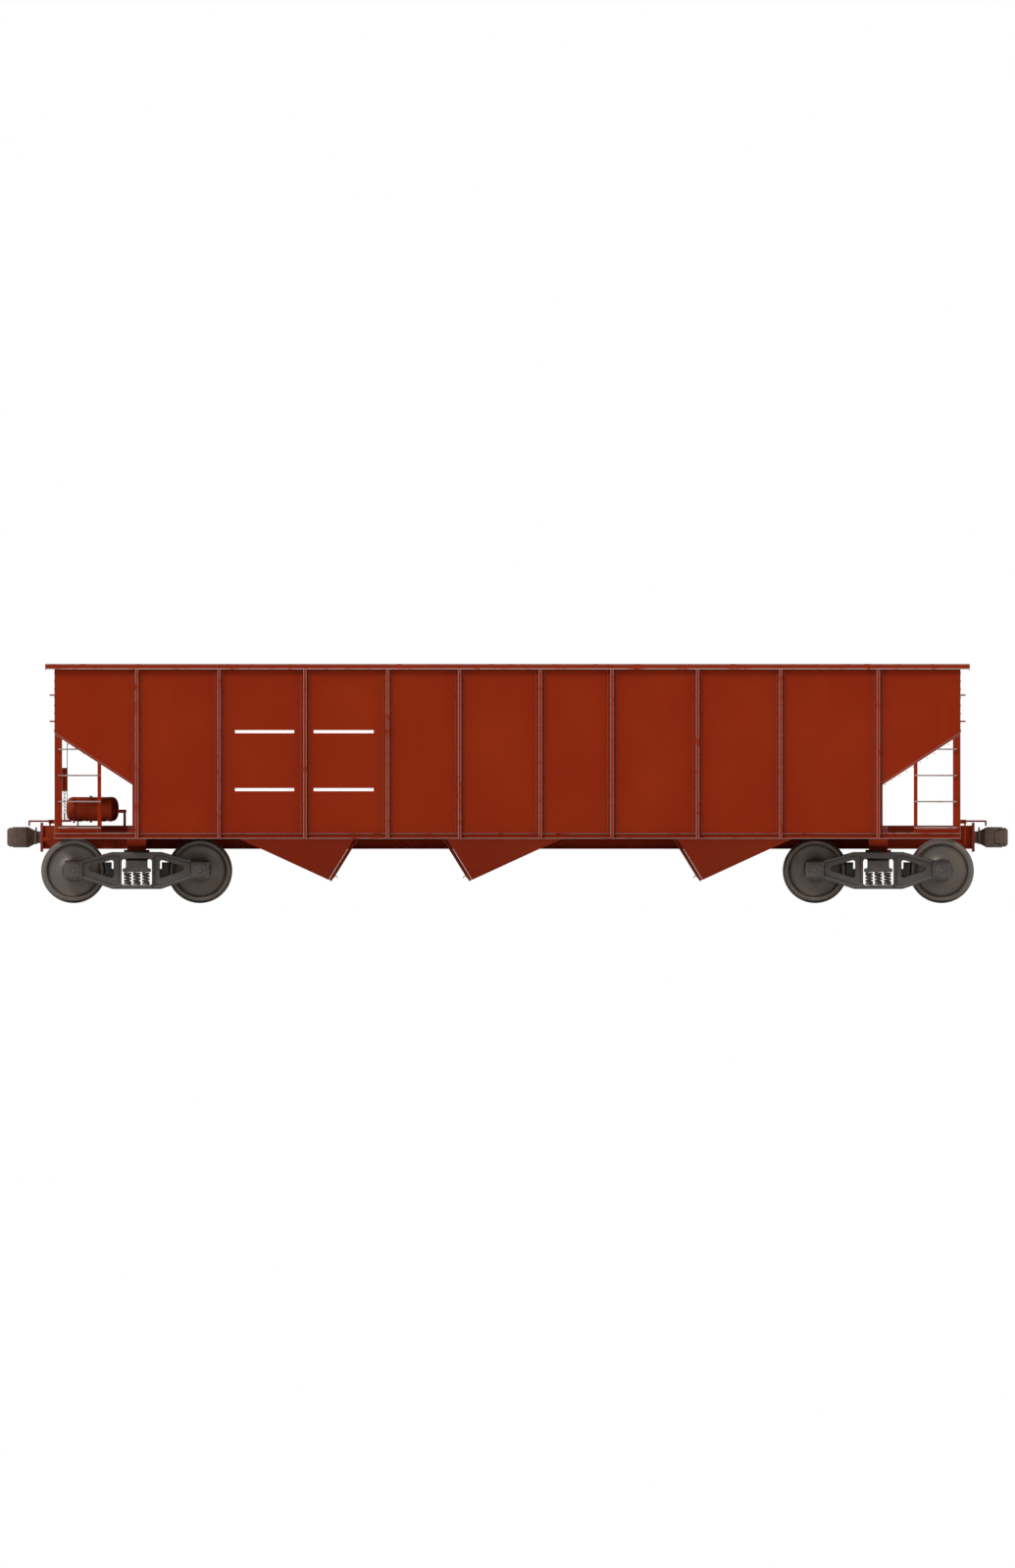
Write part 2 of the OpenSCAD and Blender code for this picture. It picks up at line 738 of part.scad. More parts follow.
module truck_bolster() {
  tip_y = frame_y + 92;
  top = 600;
  bearing_top = sill_bot - web_t - 7;
  color(dark) difference() {
    union() {
      yz([[-tip_y, spring_top], [-720, spring_top], [-540, 470], [540, 470], [720, spring_top],
          [tip_y, spring_top], [tip_y, 585], [900, 598], [760, 640], [-760, 640], [-900, 598],
          [-tip_y, 585]], -150, 150);
      both_sides() block([-196, 700, spring_top], [196, tip_y, spring_top + 50]);
      translate([0, 0, top]) cylinder(h = bowl_z - top + 22, d = plate_d + 60, $fn = 96);
      both_sides() block([-70, 575, top], [70, 695, bearing_top]);
    }
    translate([0, 0, bowl_z]) cylinder(h = 100, d = plate_d + 8, $fn = 96);
    for (y = [-330, 330]) translate([-160, y, 555]) rotate([0, 90, 0]) cylinder(h = 320, r = 55);
  }
}
module side_frames() {
  half_web = 38;
  half_rim = 85;
  seat_w = 118;
  low = axle_z - 119;
  back_y = frame_y - 105;
  face_y = frame_y + seat_w;
  hole_x = axle_x - 213.5;
  color(dark) both_sides() difference() {
    union() {
      difference() {
        xz(frame_outline, frame_y - half_rim, frame_y + half_rim);
        mirror_ends() {
          xz(frame_panel, frame_y + half_web, frame_y + half_rim + 1);
          xz(frame_panel, frame_y - half_rim - 1, frame_y - half_web);
        }
      }
      block([-215, frame_y - seat_w, 192], [215, frame_y + seat_w, spring_z]);
      mirror_ends() intersection() {
        block([axle_x - 122, back_y, low], [axle_x + 127, face_y, jaw_z[1]]);
        yz([[back_y, low + 15], [frame_y - 60, low], [frame_y + 90, low], [face_y, low + 35],
            [face_y, jaw_z[1] - 25], [frame_y + 70, jaw_z[1]], [back_y, jaw_z[1]]], 0, wheelbase);
      }
    }
    xz([[-206, spring_z], [206, spring_z], [206, 580], [180, 606], [-180, 606], [-206, 580]],
       frame_y - seat_w - 2, frame_y + seat_w + 2);
    mirror_ends() xz([
      [318, 360], [340, 345], [hole_x - 10, axle_z + 2], [hole_x, axle_z + 26],
      [hole_x - 10, axle_z + 56], [340, 590], [318, 575]
    ], frame_y - half_web - 1, frame_y + half_web + 1);
    mirror_ends() bar_y(axle_x, axle_z, back_y - 1, frame_y + 75, journal_d / 2 + pin_gap);
  }
}
module spring_groups() {
  color(dark) both_sides() for (x = [-125, 0, 125], y = [-60, 60])
    translate([x, frame_y + y, spring_z]) cylinder(h = spring_top - spring_z, r = 56);
}
module brake_beams() {
  beam_x = 232;
  beam_t = 50;
  beam_y = frame_y - 85;
  shoe_x = axle_x - wheel_r - shoe_gap;
  shoe_y = wheel_back / 2 + 48;
  shoe_w = 80;
  shoe_z = axle_z + 26;
  color(dark) mirror_ends() {
    block([beam_x, -beam_y, axle_z - 54], [beam_x + beam_t, beam_y, axle_z - 54 + beam_t]);
    both_sides() difference() {
      block([beam_x + beam_t, shoe_y, shoe_z - 140], [shoe_x + 60, shoe_y + shoe_w, shoe_z + 90]);
      bar_y(axle_x, axle_z, shoe_y - 8, shoe_y + shoe_w + 12, wheel_r + shoe_gap);
      block([beam_x + beam_t - 1, shoe_y - 8, shoe_z],
            [beam_x + 110, shoe_y + shoe_w + 12, shoe_z + 91]);
    }
  }
}
module axle() {
  seat_y = wheel_back / 2 - 36;
  collar_y = seat_y + 205;
  color(steel) union() {
    bar_y(0, axle_z, -seat_y, seat_y, 82);
    both_sides() bar_y(0, axle_z, seat_y, collar_y, seat_r);
    both_sides() bar_y(0, axle_z, collar_y, frame_y + 58, journal_d / 2);
  }
}
module wheels() {
  r = seat_r + 0.1;
  hub_r = 146;
  rim = wheel_r - 57;
  plate_in = hub_r + (rim - hub_r) * 8 / 27;
  plate_out = hub_r + (rim - hub_r) * 77 / 108;
  flange_r = wheel_r + flange_h;
  color(steel) both_sides() translate([0, wheel_back / 2, axle_z]) rotate([-90, 0, 0])
    rotate_extrude($fn = 96) polygon([
      [r, -22], [138, -22], [hub_r, 14], [plate_in, 44], [plate_out, 58], [rim - 10, 44], [rim, 0],
      [wheel_r + 4, 0], [flange_r - 5, 3], [flange_r, 12], [flange_r - 5, 22],
      [wheel_r + 4, 32], [wheel_r, 44], [wheel_r - 4, rim_w], [rim, rim_w], [rim - 10, 96],
      [plate_out, 84], [plate_in, 92], [hub_r, 118], [138, 156], [r, 156]
    ]);
}
module at_truck(end) {
  translate([end * truck_x, 0, 0]) children();
}
module at_axle(i) {
  end = i < 3 ? -1 : 1;
  side = (i % 2 == 1) ? -1 : 1;
  translate([end * truck_x + side * axle_x, 0, 0]) children();
}

center_sill();
sill_hood();
mirror([0, 1, 0]) side_sheet();  // side_sheet_left
side_sheet();  // side_sheet_right
mirror([0, 1, 0]) side_posts();  // side_posts_left
side_posts();  // side_posts_right
side_sills();
top_chords();
end_caps();
end_sheets();
slope_sheet(slope_a);  // slope_sheet_a
slope_sheet(slope_b);  // slope_sheet_b
cross_ridge(ridge_a, apex_a);  // cross_ridge_a
cross_ridge(ridge_b, apex_b);  // cross_ridge_b
chute(hop_x[0], hop_dir[0]);  // hopper_chute_1
chute(hop_x[1], hop_dir[1]);  // hopper_chute_2
chute(hop_x[2], hop_dir[2]);  // hopper_chute_3
end_sills();
body_bolsters();
end_posts();
side_ladders();
end_rungs();
brake_platform();
hand_brake();
brake_cylinder();
air_reservoir();
control_valve();
train_pipe();
uncoupling_levers();
strikers();
hopper_door(hop_x[0], hop_dir[0]);  // hopper_door_1
hopper_door(hop_x[1], hop_dir[1]);  // hopper_door_2
hopper_door(hop_x[2], hop_dir[2]);  // hopper_door_3
rotate([0, 0, 180]) coupler();  // coupler_a
coupler();  // coupler_b
rotate([0, 0, 180]) knuckle();  // knuckle_a
knuckle();  // knuckle_b
at_truck(-1) truck_bolster();  // truck_bolster_a
at_truck(1) truck_bolster();  // truck_bolster_b
at_truck(-1) side_frames();  // side_frames_a
at_truck(1) side_frames();  // side_frames_b
at_truck(-1) spring_groups();  // spring_groups_a
at_truck(1) spring_groups();  // spring_groups_b
at_truck(-1) brake_beams();  // brake_beams_a
at_truck(1) brake_beams();  // brake_beams_b
at_axle(1) axle();  // axle_1
at_axle(2) axle();  // axle_2
at_axle(3) axle();  // axle_3
at_axle(4) axle();  // axle_4
at_axle(1) wheels();  // wheels_1
at_axle(2) wheels();  // wheels_2
at_axle(3) wheels();  // wheels_3
at_axle(4) wheels();  // wheels_4
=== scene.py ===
# %% [markdown]
# An open hopper wagon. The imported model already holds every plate, casting and wheel at its true
# size. This lesson gives those pieces their finish and adds what a drawing office leaves to the
# shop: rivets, rounded rolled sections, coil springs, box lids, pipes, a chain and stencilled
# stripes. Everything is in metres, with +X along the wagon and +Z up.

# %% Load the frame
import json

import bmesh
import bpy
import numpy as np
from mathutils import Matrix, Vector


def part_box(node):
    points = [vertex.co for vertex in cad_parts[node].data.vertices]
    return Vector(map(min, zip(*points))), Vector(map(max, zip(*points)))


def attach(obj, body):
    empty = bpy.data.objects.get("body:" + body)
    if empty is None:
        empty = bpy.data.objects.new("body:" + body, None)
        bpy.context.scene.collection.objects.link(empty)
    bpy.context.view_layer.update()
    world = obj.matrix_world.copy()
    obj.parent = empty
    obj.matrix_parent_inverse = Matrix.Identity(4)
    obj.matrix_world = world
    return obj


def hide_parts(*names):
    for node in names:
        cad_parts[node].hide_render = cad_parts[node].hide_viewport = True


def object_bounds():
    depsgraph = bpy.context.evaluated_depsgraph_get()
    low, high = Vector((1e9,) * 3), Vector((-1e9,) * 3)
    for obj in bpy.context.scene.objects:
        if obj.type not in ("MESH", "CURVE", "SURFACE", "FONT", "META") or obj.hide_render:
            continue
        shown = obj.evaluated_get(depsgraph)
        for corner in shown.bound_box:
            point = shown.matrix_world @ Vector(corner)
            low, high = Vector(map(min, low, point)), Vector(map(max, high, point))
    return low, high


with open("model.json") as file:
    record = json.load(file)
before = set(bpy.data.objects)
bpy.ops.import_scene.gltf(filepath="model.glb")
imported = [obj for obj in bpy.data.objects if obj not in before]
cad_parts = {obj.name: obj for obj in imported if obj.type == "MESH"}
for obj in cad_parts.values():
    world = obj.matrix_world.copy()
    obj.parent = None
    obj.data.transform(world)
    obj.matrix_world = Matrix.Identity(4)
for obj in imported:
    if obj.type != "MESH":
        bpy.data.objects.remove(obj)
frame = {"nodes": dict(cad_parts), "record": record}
cad_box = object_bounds()
record = frame["record"]
slot_of = {part["node"]: part["material_slot"] for part in record["subparts"]}
body_of = {node: body for body, held in record["behaviour"]["bodies"].items() for node in held}

# %% [markdown]
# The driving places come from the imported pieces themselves. A piece's box gives its ends, and
# where one piece holds many alike, such as the side posts, the places of its points fall into
# groups and the middle of each group is one post. A few sizes that no box gives, such as a hub's,
# are named where they are used.

# %% Driving places
def corners(node):
    """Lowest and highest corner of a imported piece, as two arrays."""
    low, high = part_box(node)
    return np.array(low), np.array(high)


def node_points(node):
    """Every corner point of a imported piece, as an array of shape (count, 3)."""
    mesh = frame["nodes"][node].data
    flat = np.empty(len(mesh.vertices) * 3)
    mesh.vertices.foreach_get("co", flat)
    return flat.reshape(-1, 3)


def groups(values, gap):
    """Lowest and highest of each run of sorted values whose neighbours are closer than gap."""
    values = np.unique(np.round(values, 5))
    runs = np.split(values, np.flatnonzero(np.diff(values) > gap) + 1)
    return np.array([(run[0], run[-1]) for run in runs])


sheet_low, sheet_high = corners("side_sheet_right")
HALF, SIDE = sheet_high[:2]
INSIDE, SILL_Z = sheet_low[1], sheet_low[2]
post_points = node_points("side_posts_right")
POST_FACE = post_points[:, 1].max()
crowns = groups(post_points[post_points[:, 1] > POST_FACE - 0.001, 0], 0.2)
feet = groups(post_points[:, 0], 0.2)
POST_X = crowns.mean(axis=1)
CROWN = np.ptp(crowns, axis=1)[0]
FLANGE = np.ptp(feet, axis=1)[0]
print("posts at", POST_X.round(3), "crown", CROWN, "flange", FLANGE)

# %% [markdown]
# The wagon is seen square from its side, as in a works drawing, so the camera is orthographic.
# Its height puts the body a little above the middle, and a thin margin is left past the couplers.

# %% Camera
FRAME_RATIO = 1599 / 1035
MARGIN = 1.014
BELOW_MIDDLE = 0.008
CAMERA_AWAY = 40
wagon_length = cad_box[1][0] - cad_box[0][0]
camera_data = bpy.data.cameras.new("camera")
camera_data.type = "ORTHO"
camera_data.ortho_scale = wagon_length * MARGIN * FRAME_RATIO
camera_data.clip_end = 200
camera = bpy.data.objects.new("camera", camera_data)
camera.location = (0, -CAMERA_AWAY, 0.5 * (cad_box[0][2] + cad_box[1][2]) - BELOW_MIDDLE)
camera.rotation_euler = (np.pi / 2, 0, 0)
bpy.context.collection.objects.link(camera)
bpy.context.scene.camera = camera

# %% [markdown]
# A pale floor and a white surround stand in for paper. On a piece as long as a wagon a lamp near
# one end would leave the other end dark, so two distant suns with wide discs are used: their
# light is even from end to end and their shadows are still soft.

# %% Floor and light
def plain_material(name, colour, roughness):
    """A Principled shader with one colour and one roughness."""
    material = bpy.data.materials.new(name)
    material.use_nodes = True
    shader = material.node_tree.nodes["Principled BSDF"]
    shader.inputs["Base Color"].default_value = (*colour, 1)
    shader.inputs["Roughness"].default_value = roughness
    return material


FLOOR_HALF = 60
FLOOR_Z = -0.001
floor_corners = [(x * FLOOR_HALF, y * FLOOR_HALF, FLOOR_Z) for x, y in ((-1, -1), (1, -1), (1, 1), (-1, 1))]
floor_mesh = bpy.data.meshes.new("floor")
floor_mesh.from_pydata(floor_corners, [], [(0, 1, 2, 3)])
floor_mesh.materials.append(plain_material("floor_white", (0.86, 0.86, 0.85), 0.9))
floor = bpy.data.objects.new("floor", floor_mesh)
bpy.context.collection.objects.link(floor)

world = bpy.data.worlds.new("surround")
world.use_nodes = True
world.node_tree.nodes["Background"].inputs["Color"].default_value = (1, 1, 1, 1)
world.node_tree.nodes["Background"].inputs["Strength"].default_value = 1.0
bpy.context.scene.world = world
bpy.context.scene.view_settings.view_transform = "Standard"


def soft_sun(name, direction, strength, width):
    """A sun that shines along a direction, with a disc width degrees across."""
    data = bpy.data.lights.new(name, "SUN")
    data.energy = strength
    data.angle = np.radians(width)
    lamp = bpy.data.objects.new(name, data)
    lamp.rotation_euler = Vector(direction).to_track_quat("-Z", "Y").to_euler()
    bpy.context.collection.objects.link(lamp)


soft_sun("key", (0.55, 1.0, -0.9), 1.9, 16)
soft_sun("fill", (-0.7, -1.0, -0.8), 1.1, 30)

# %% [markdown]
# Freight-car paint is never quite even. Broad cloudy fading, faint streaks left by rain and a
# fine grain in the film repeat on every painted piece. Edges are painted grey. Part of this grey is
# paint that hands, chains and loads rub off, and part is a painted highlight that marks every edge
# alike. These are built once as a node group. The grey edges come from a mesh attribute which is
# up to 1 along an edge and 0 elsewhere, broken up by noise.

# %% Shader helpers
FLOAT = "NodeSocketFloat"
COLOR = "NodeSocketColor"


def new_group(name, inputs, outputs):
    """An empty shader group with float or colour sockets made by name."""
    group = bpy.data.node_groups.new(name, "ShaderNodeTree")
    for label, kind, value in inputs:
        socket = group.interface.new_socket(label, in_out="INPUT", socket_type=kind)
        socket.default_value = value
    for label, kind in outputs:
        group.interface.new_socket(label, in_out="OUTPUT", socket_type=kind)
    entry = group.nodes.new("NodeGroupInput")
    leave = group.nodes.new("NodeGroupOutput")
    return group, entry.outputs, leave.inputs


def noise(group, scale, stretch=(1, 1, 1), detail=4.0):
    """Noise on Object coordinates, stretched by a factor along each axis."""
    place = group.nodes.new("ShaderNodeTexCoord")
    mapping = group.nodes.new("ShaderNodeMapping")
    mapping.inputs["Scale"].default_value = stretch
    texture = group.nodes.new("ShaderNodeTexNoise")
    texture.inputs["Scale"].default_value = scale
    texture.inputs["Detail"].default_value = detail
    group.links.new(place.outputs["Object"], mapping.inputs["Vector"])
    group.links.new(mapping.outputs["Vector"], texture.inputs["Vector"])
    return texture.outputs["Fac"]


def ramp(group, source, low, high):
    """Smooth step of a value: 0 below low, 1 above high."""
    node = group.nodes.new("ShaderNodeMapRange")
    node.interpolation_type = "SMOOTHSTEP"
    node.inputs["From Min"].default_value = low
    node.inputs["From Max"].default_value = high
    group.links.new(source, node.inputs["Value"])
    return node.outputs["Result"]


def fill_socket(group, socket, value):
    """Links a value that is a socket, or sets it as the socket's own number or colour."""
    if isinstance(value, (int, float, tuple)):
        socket.default_value = value
    else:
        group.links.new(value, socket)


def maths(group, operation, a, b):
    """One maths node of two numbers or sockets."""
    node = group.nodes.new("ShaderNodeMath")
    node.operation = operation
    fill_socket(group, node.inputs[0], a)
    fill_socket(group, node.inputs[1], b)
    return node.outputs["Value"]


def mix(group, factor, a, b):
    """Mixes two colours by a factor. On a Mix node, inputs 6 and 7 and output 2 are the colours."""
    node = group.nodes.new("ShaderNodeMix")
    node.data_type = "RGBA"
    fill_socket(group, node.inputs[0], factor)
    fill_socket(group, node.inputs[6], a)
    fill_socket(group, node.inputs[7], b)
    return node.outputs[2]


def rubbed_edge_highlight_mask(group):
    """Edge attribute let through by noise: rubbed paint and a painted edge highlight, looking broken."""
    attribute = group.nodes.new("ShaderNodeAttribute")
    attribute.attribute_name = "wear_and_highlight"
    patches = ramp(group, noise(group, 7.0, detail=6.0), 0.25, 0.5)
    return maths(group, "MULTIPLY", attribute.outputs["Fac"], patches)


# %% [markdown]
# The paint comes first. Its nodes could be repeated in every painted material, but then one change
# would have to be made in each of them. A group is built once, and each material gives it its own
# colours and amounts through named inputs.

# %% Group: faded paint
def build_faded_paint():
    """Colour = paint, moved towards its faded colour by clouds and streaks, and to grey on edges,
    which is rubbed paint and a painted edge highlight. Faces that look down fade only by the share
    Underside. Roughness rises with the fading, and the film's grain is the height."""
    group, given, out = new_group(
        "faded_paint",
        [("Paint", COLOR, (0.25, 0.02, 0.0, 1)), ("Faded", COLOR, (0.3, 0.05, 0.02, 1)),
         ("Fade", FLOAT, 0.3), ("Streaks", FLOAT, 0.2), ("Rubbed_and_highlight", FLOAT, 0.7),
         ("Underside", FLOAT, 1.0), ("Roughness", FLOAT, 0.5)],
        [("Color", COLOR), ("Roughness", FLOAT), ("Height", FLOAT)])
    clouds = maths(group, "MULTIPLY", ramp(group, noise(group, 0.9, detail=6.0), 0.35, 0.75), given["Fade"])
    rain = ramp(group, noise(group, 9.0, (1, 1, 0.06), detail=5.0), 0.5, 0.8)
    amount = maths(group, "MAXIMUM", clouds, maths(group, "MULTIPLY", rain, given["Streaks"]))
    facing = group.nodes.new("ShaderNodeSeparateXYZ")
    group.links.new(group.nodes.new("ShaderNodeNewGeometry").outputs["True Normal"], facing.inputs["Vector"])
    upper = maths(group, "MAXIMUM", ramp(group, facing.outputs["Z"], -0.1, 0.1), given["Underside"])
    amount = maths(group, "MULTIPLY", amount, upper)
    grain = noise(group, 420.0, detail=2.0)
    edge = maths(group, "MULTIPLY", rubbed_edge_highlight_mask(group), given["Rubbed_and_highlight"])
    colour = mix(group, amount, given["Paint"], given["Faded"])
    # Grey on edges: rubbed paint and a painted edge highlight, the same under any light.
    colour = mix(group, edge, colour, (0.23, 0.22, 0.21, 1))
    rough = maths(group, "ADD", given["Roughness"], maths(group, "MULTIPLY", amount, 0.2))
    rough = maths(group, "ADD", rough, maths(group, "MULTIPLY", maths(group, "SUBTRACT", grain, 0.5), 0.12))
    group.links.new(colour, out["Color"])
    group.links.new(rough, out["Roughness"])
    group.links.new(grain, out["Height"])
    return group


faded_paint = build_faded_paint()

# %% [markdown]
# Castings and forgings share another skin: the grain of the sand mould, slow lumps where the
# metal ran thick, and brown dust in patches over them. Spring steel uses it too, with less height.

# %% Group: cast skin
def build_cast_skin():
    """Colour = metal with dust over the higher lumps, and paler metal on edges as rubbed metal and a
    painted edge highlight. The height is six parts lumps to four parts pits."""
    group, given, out = new_group(
        "cast_skin",
        [("Metal", COLOR, (0.04, 0.035, 0.03, 1)), ("Dust", COLOR, (0.12, 0.08, 0.05, 1)),
         ("Dusting", FLOAT, 0.4), ("Roughness", FLOAT, 0.6)],
        [("Color", COLOR), ("Roughness", FLOAT), ("Height", FLOAT)])
    lumps = noise(group, 14.0, detail=6.0)
    pits = noise(group, 160.0, detail=3.0)
    dust = maths(group, "MULTIPLY", ramp(group, lumps, 0.4, 0.7), given["Dusting"])
    colour = mix(group, dust, given["Metal"], given["Dust"])
    # Paler metal on edges: rubbed metal and a painted edge highlight.
    colour = mix(group, maths(group, "MULTIPLY", rubbed_edge_highlight_mask(group), 0.5), colour, (0.16, 0.15, 0.14, 1))
    height = maths(group, "ADD", maths(group, "MULTIPLY", lumps, 0.6), maths(group, "MULTIPLY", pits, 0.4))
    group.links.new(colour, out["Color"])
    group.links.new(maths(group, "ADD", given["Roughness"], maths(group, "MULTIPLY", dust, 0.25)),
                    out["Roughness"])
    group.links.new(height, out["Height"])
    return group


cast_skin = build_cast_skin()

# %% [markdown]
# A wheel's tread and an axle are turned, and the tool leaves fine rings that run round the axis.
# Noise squeezed along the axle, which is the Y coordinate, draws such rings and needs no
# unwrapping.

# %% Group: turned steel
def build_turned_steel():
    """Colour = metal with patches of dust, crossed by fine bands that follow each other along Y,
    the axle's own direction. The bands are the height."""
    group, given, out = new_group(
        "turned_steel",
        [("Metal", COLOR, (0.09, 0.075, 0.065, 1)), ("Dust", COLOR, (0.13, 0.08, 0.05, 1)),
         ("Dusting", FLOAT, 0.5), ("Roughness", FLOAT, 0.45)],
        [("Color", COLOR), ("Roughness", FLOAT), ("Height", FLOAT)])
    rings = noise(group, 1.0, (4, 260, 4), detail=3.0)
    dust = maths(group, "MULTIPLY", ramp(group, noise(group, 5.0, detail=6.0), 0.35, 0.7), given["Dusting"])
    colour = mix(group, dust, given["Metal"], given["Dust"])
    group.links.new(mix(group, maths(group, "MULTIPLY", rings, 0.25), colour, (0.2, 0.19, 0.18, 1)),
                    out["Color"])
    group.links.new(maths(group, "ADD", given["Roughness"], maths(group, "MULTIPLY", dust, 0.3)),
                    out["Roughness"])
    group.links.new(rings, out["Height"])
    return group


turned_steel = build_turned_steel()

# %% [markdown]
# Each finish is its own material. The painted ones share the paint group, the castings share the
# cast skin, and wheels and axles take the turned steel.

# %% Materials
def finish_from(name, group, values, bump, metallic=0.0, specular=0.5):
    """A material whose colour, roughness and bump come from a group with the given values."""
    material = bpy.data.materials.new(name)
    material.use_nodes = True
    tree = material.node_tree
    shader = tree.nodes["Principled BSDF"]
    shader.inputs["Metallic"].default_value = metallic
    shader.inputs["Specular IOR Level"].default_value = specular
    node = tree.nodes.new("ShaderNodeGroup")
    node.node_tree = group
    for label, value in values.items():
        node.inputs[label].default_value = value
    bump_node = tree.nodes.new("ShaderNodeBump")
    bump_node.inputs["Strength"].default_value = 0.35
    bump_node.inputs["Distance"].default_value = bump
    tree.links.new(node.outputs["Color"], shader.inputs["Base Color"])
    tree.links.new(node.outputs["Roughness"], shader.inputs["Roughness"])
    tree.links.new(node.outputs["Height"], bump_node.inputs["Height"])
    tree.links.new(bump_node.outputs["Normal"], shader.inputs["Normal"])
    return material


body_paint = finish_from("mineral_red_paint", faded_paint, {
    "Paint": (0.158, 0.0098, 0.0, 1), "Faded": (0.185, 0.017, 0.001, 1), "Fade": 0.5,
    "Streaks": 0.35, "Roughness": 0.55}, bump=0.0004, specular=0.06)
# The underframe takes the body's red made lighter, a painted lift against the shade under the body.
under_paint_lightened_for_shade = finish_from("underframe_paint", faded_paint, {
    "Paint": (0.185, 0.0118, 0.0, 1), "Faded": (0.19, 0.025, 0.005, 1), "Fade": 0.5,
    "Streaks": 0.3, "Rubbed_and_highlight": 0.5, "Roughness": 0.6}, bump=0.0004, specular=0.1)
load_paint = finish_from("load_space_paint", faded_paint, {
    "Paint": (0.165, 0.0125, 0.001, 1), "Faded": (0.13, 0.06, 0.042, 1), "Fade": 0.8,
    "Streaks": 0.8, "Underside": 0.15, "Roughness": 0.5}, bump=0.0006, specular=0.25)
stencil_white = finish_from("stencil_white", faded_paint, {
    "Paint": (0.86, 0.85, 0.83, 1), "Faded": (0.75, 0.68, 0.62, 1), "Fade": 0.15,
    "Streaks": 0.2, "Roughness": 0.5}, bump=0.0002, specular=0.3)
truck_black = finish_from("truck_black", cast_skin, {
    "Metal": (0.028, 0.025, 0.022, 1), "Dust": (0.09, 0.055, 0.035, 1), "Dusting": 0.4,
    "Roughness": 0.55}, bump=0.0015)
coupler_steel = finish_from("coupler_steel", cast_skin, {
    "Metal": (0.07, 0.05, 0.04, 1), "Dust": (0.14, 0.07, 0.04, 1), "Dusting": 0.6,
    "Roughness": 0.5}, bump=0.0015, metallic=0.6)
spring_steel = finish_from("spring_steel", cast_skin, {
    "Metal": (0.05, 0.045, 0.04, 1), "Dust": (0.11, 0.07, 0.05, 1), "Dusting": 0.4,
    "Roughness": 0.45}, bump=0.0003, metallic=0.6)
wheel_steel = finish_from("wheel_steel", turned_steel, {
    "Metal": (0.075, 0.062, 0.053, 1), "Dust": (0.11, 0.07, 0.045, 1), "Dusting": 0.6,
    "Roughness": 0.45}, bump=0.0004, metallic=0.6)
axle_steel = finish_from("axle_steel", turned_steel, {
    "Metal": (0.11, 0.10, 0.09, 1), "Dust": (0.12, 0.08, 0.055, 1), "Dusting": 0.5,
    "Roughness": 0.4}, bump=0.0003, metallic=0.8)

FINISH = {
    "body_paint": body_paint, "underframe_paint": under_paint_lightened_for_shade, "load_sheets": load_paint,
    "truck_castings": truck_black, "coupler_casting": coupler_steel, "brake_gear_paint": under_paint_lightened_for_shade,
    "spring_steel": spring_steel, "axle_steel": axle_steel, "wheel_steel": wheel_steel,
}
for node, slot_name in slot_of.items():
    packed = frame["nodes"][node]
    packed.data.materials.clear()
    packed.data.materials.append(FINISH[slot_name])

# %% [markdown]
# New pieces are surfaces made from rings of points. One ring is an outline, a list of rings
# swept along a path is a bar or a pressed section, and the same rings carried round an axis make
# a turned part. A few short functions cover all of them and put the result into the scene.

# %% Surface helpers
def placed(name, mesh, node):
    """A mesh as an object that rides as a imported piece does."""
    made = bpy.data.objects.new(name, mesh)
    bpy.context.collection.objects.link(made)
    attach(made, body_of[node])
    return made


def add_piece(name, points, faces, material, node, wear_and_highlight=None):
    """A placed mesh of points and faces. Its shells are turned to face outwards, and faces that
    meet at under 40 degrees shade smoothly."""
    mesh = bpy.data.meshes.new(name)
    mesh.from_pydata(np.asarray(points).reshape(-1, 3), [], faces)
    # Per-point edge values for the grey of rubbed paint and painted edge highlight.
    if wear_and_highlight is not None:
        layer = mesh.attributes.new("wear_and_highlight", "FLOAT", "POINT")
        layer.data.foreach_set("value", np.asarray(wear_and_highlight, np.float32).ravel())
    shell = bmesh.new()
    shell.from_mesh(mesh)
    bmesh.ops.recalc_face_normals(shell, faces=shell.faces)
    shell.to_mesh(mesh)
    shell.free()
    mesh.polygons.foreach_set("use_smooth", np.ones(len(mesh.polygons), bool))
    mesh.set_sharp_from_angle(angle=np.radians(40))
    mesh.materials.append(material)
    return placed(name, mesh, node)


def skin(rings, closed=False):
    """Faces over rings of points of shape (rings, around, 3). The ends get flat caps, or with
    closed the last ring is joined to the first. Returns the points and the list of faces."""
    count, around = rings.shape[:2]
    index = np.arange(count * around).reshape(count, around)
    following = np.roll(index, -1, axis=0)
    rows = slice(None) if closed else slice(0, -1)
    quads = np.stack([index[rows], np.roll(index, -1, 1)[rows], np.roll(following, -1, 1)[rows],
                      following[rows]], axis=-1).reshape(-1, 4).tolist()
    caps = [] if closed else [index[0, ::-1].tolist(), index[-1].tolist()]
    return rings.reshape(-1, 3), quads + caps


def repeat(points, faces, places):
    """Copies of one small shape moved to each place. Returns the joined points and faces."""
    places = np.asarray(places, float).reshape(-1, 3)
    moved = (places[:, None] + points[None]).reshape(-1, 3)
    starts = np.arange(len(places)) * len(points)
    copies = []
    for size in sorted({len(face) for face in faces}):
        block = np.array([face for face in faces if len(face) == size])
        copies += (starts[:, None, None] + block[None]).reshape(-1, size).tolist()
    return moved, copies


def joined(*shapes):
    """Several (points, faces) pairs as one."""
    points, faces, start = [], [], 0
    for shape_points, shape_faces in shapes:
        points.append(np.asarray(shape_points).reshape(-1, 3))
        faces += [[start + i for i in face] for face in shape_faces]
        start += len(points[-1])
    return np.concatenate(points), faces


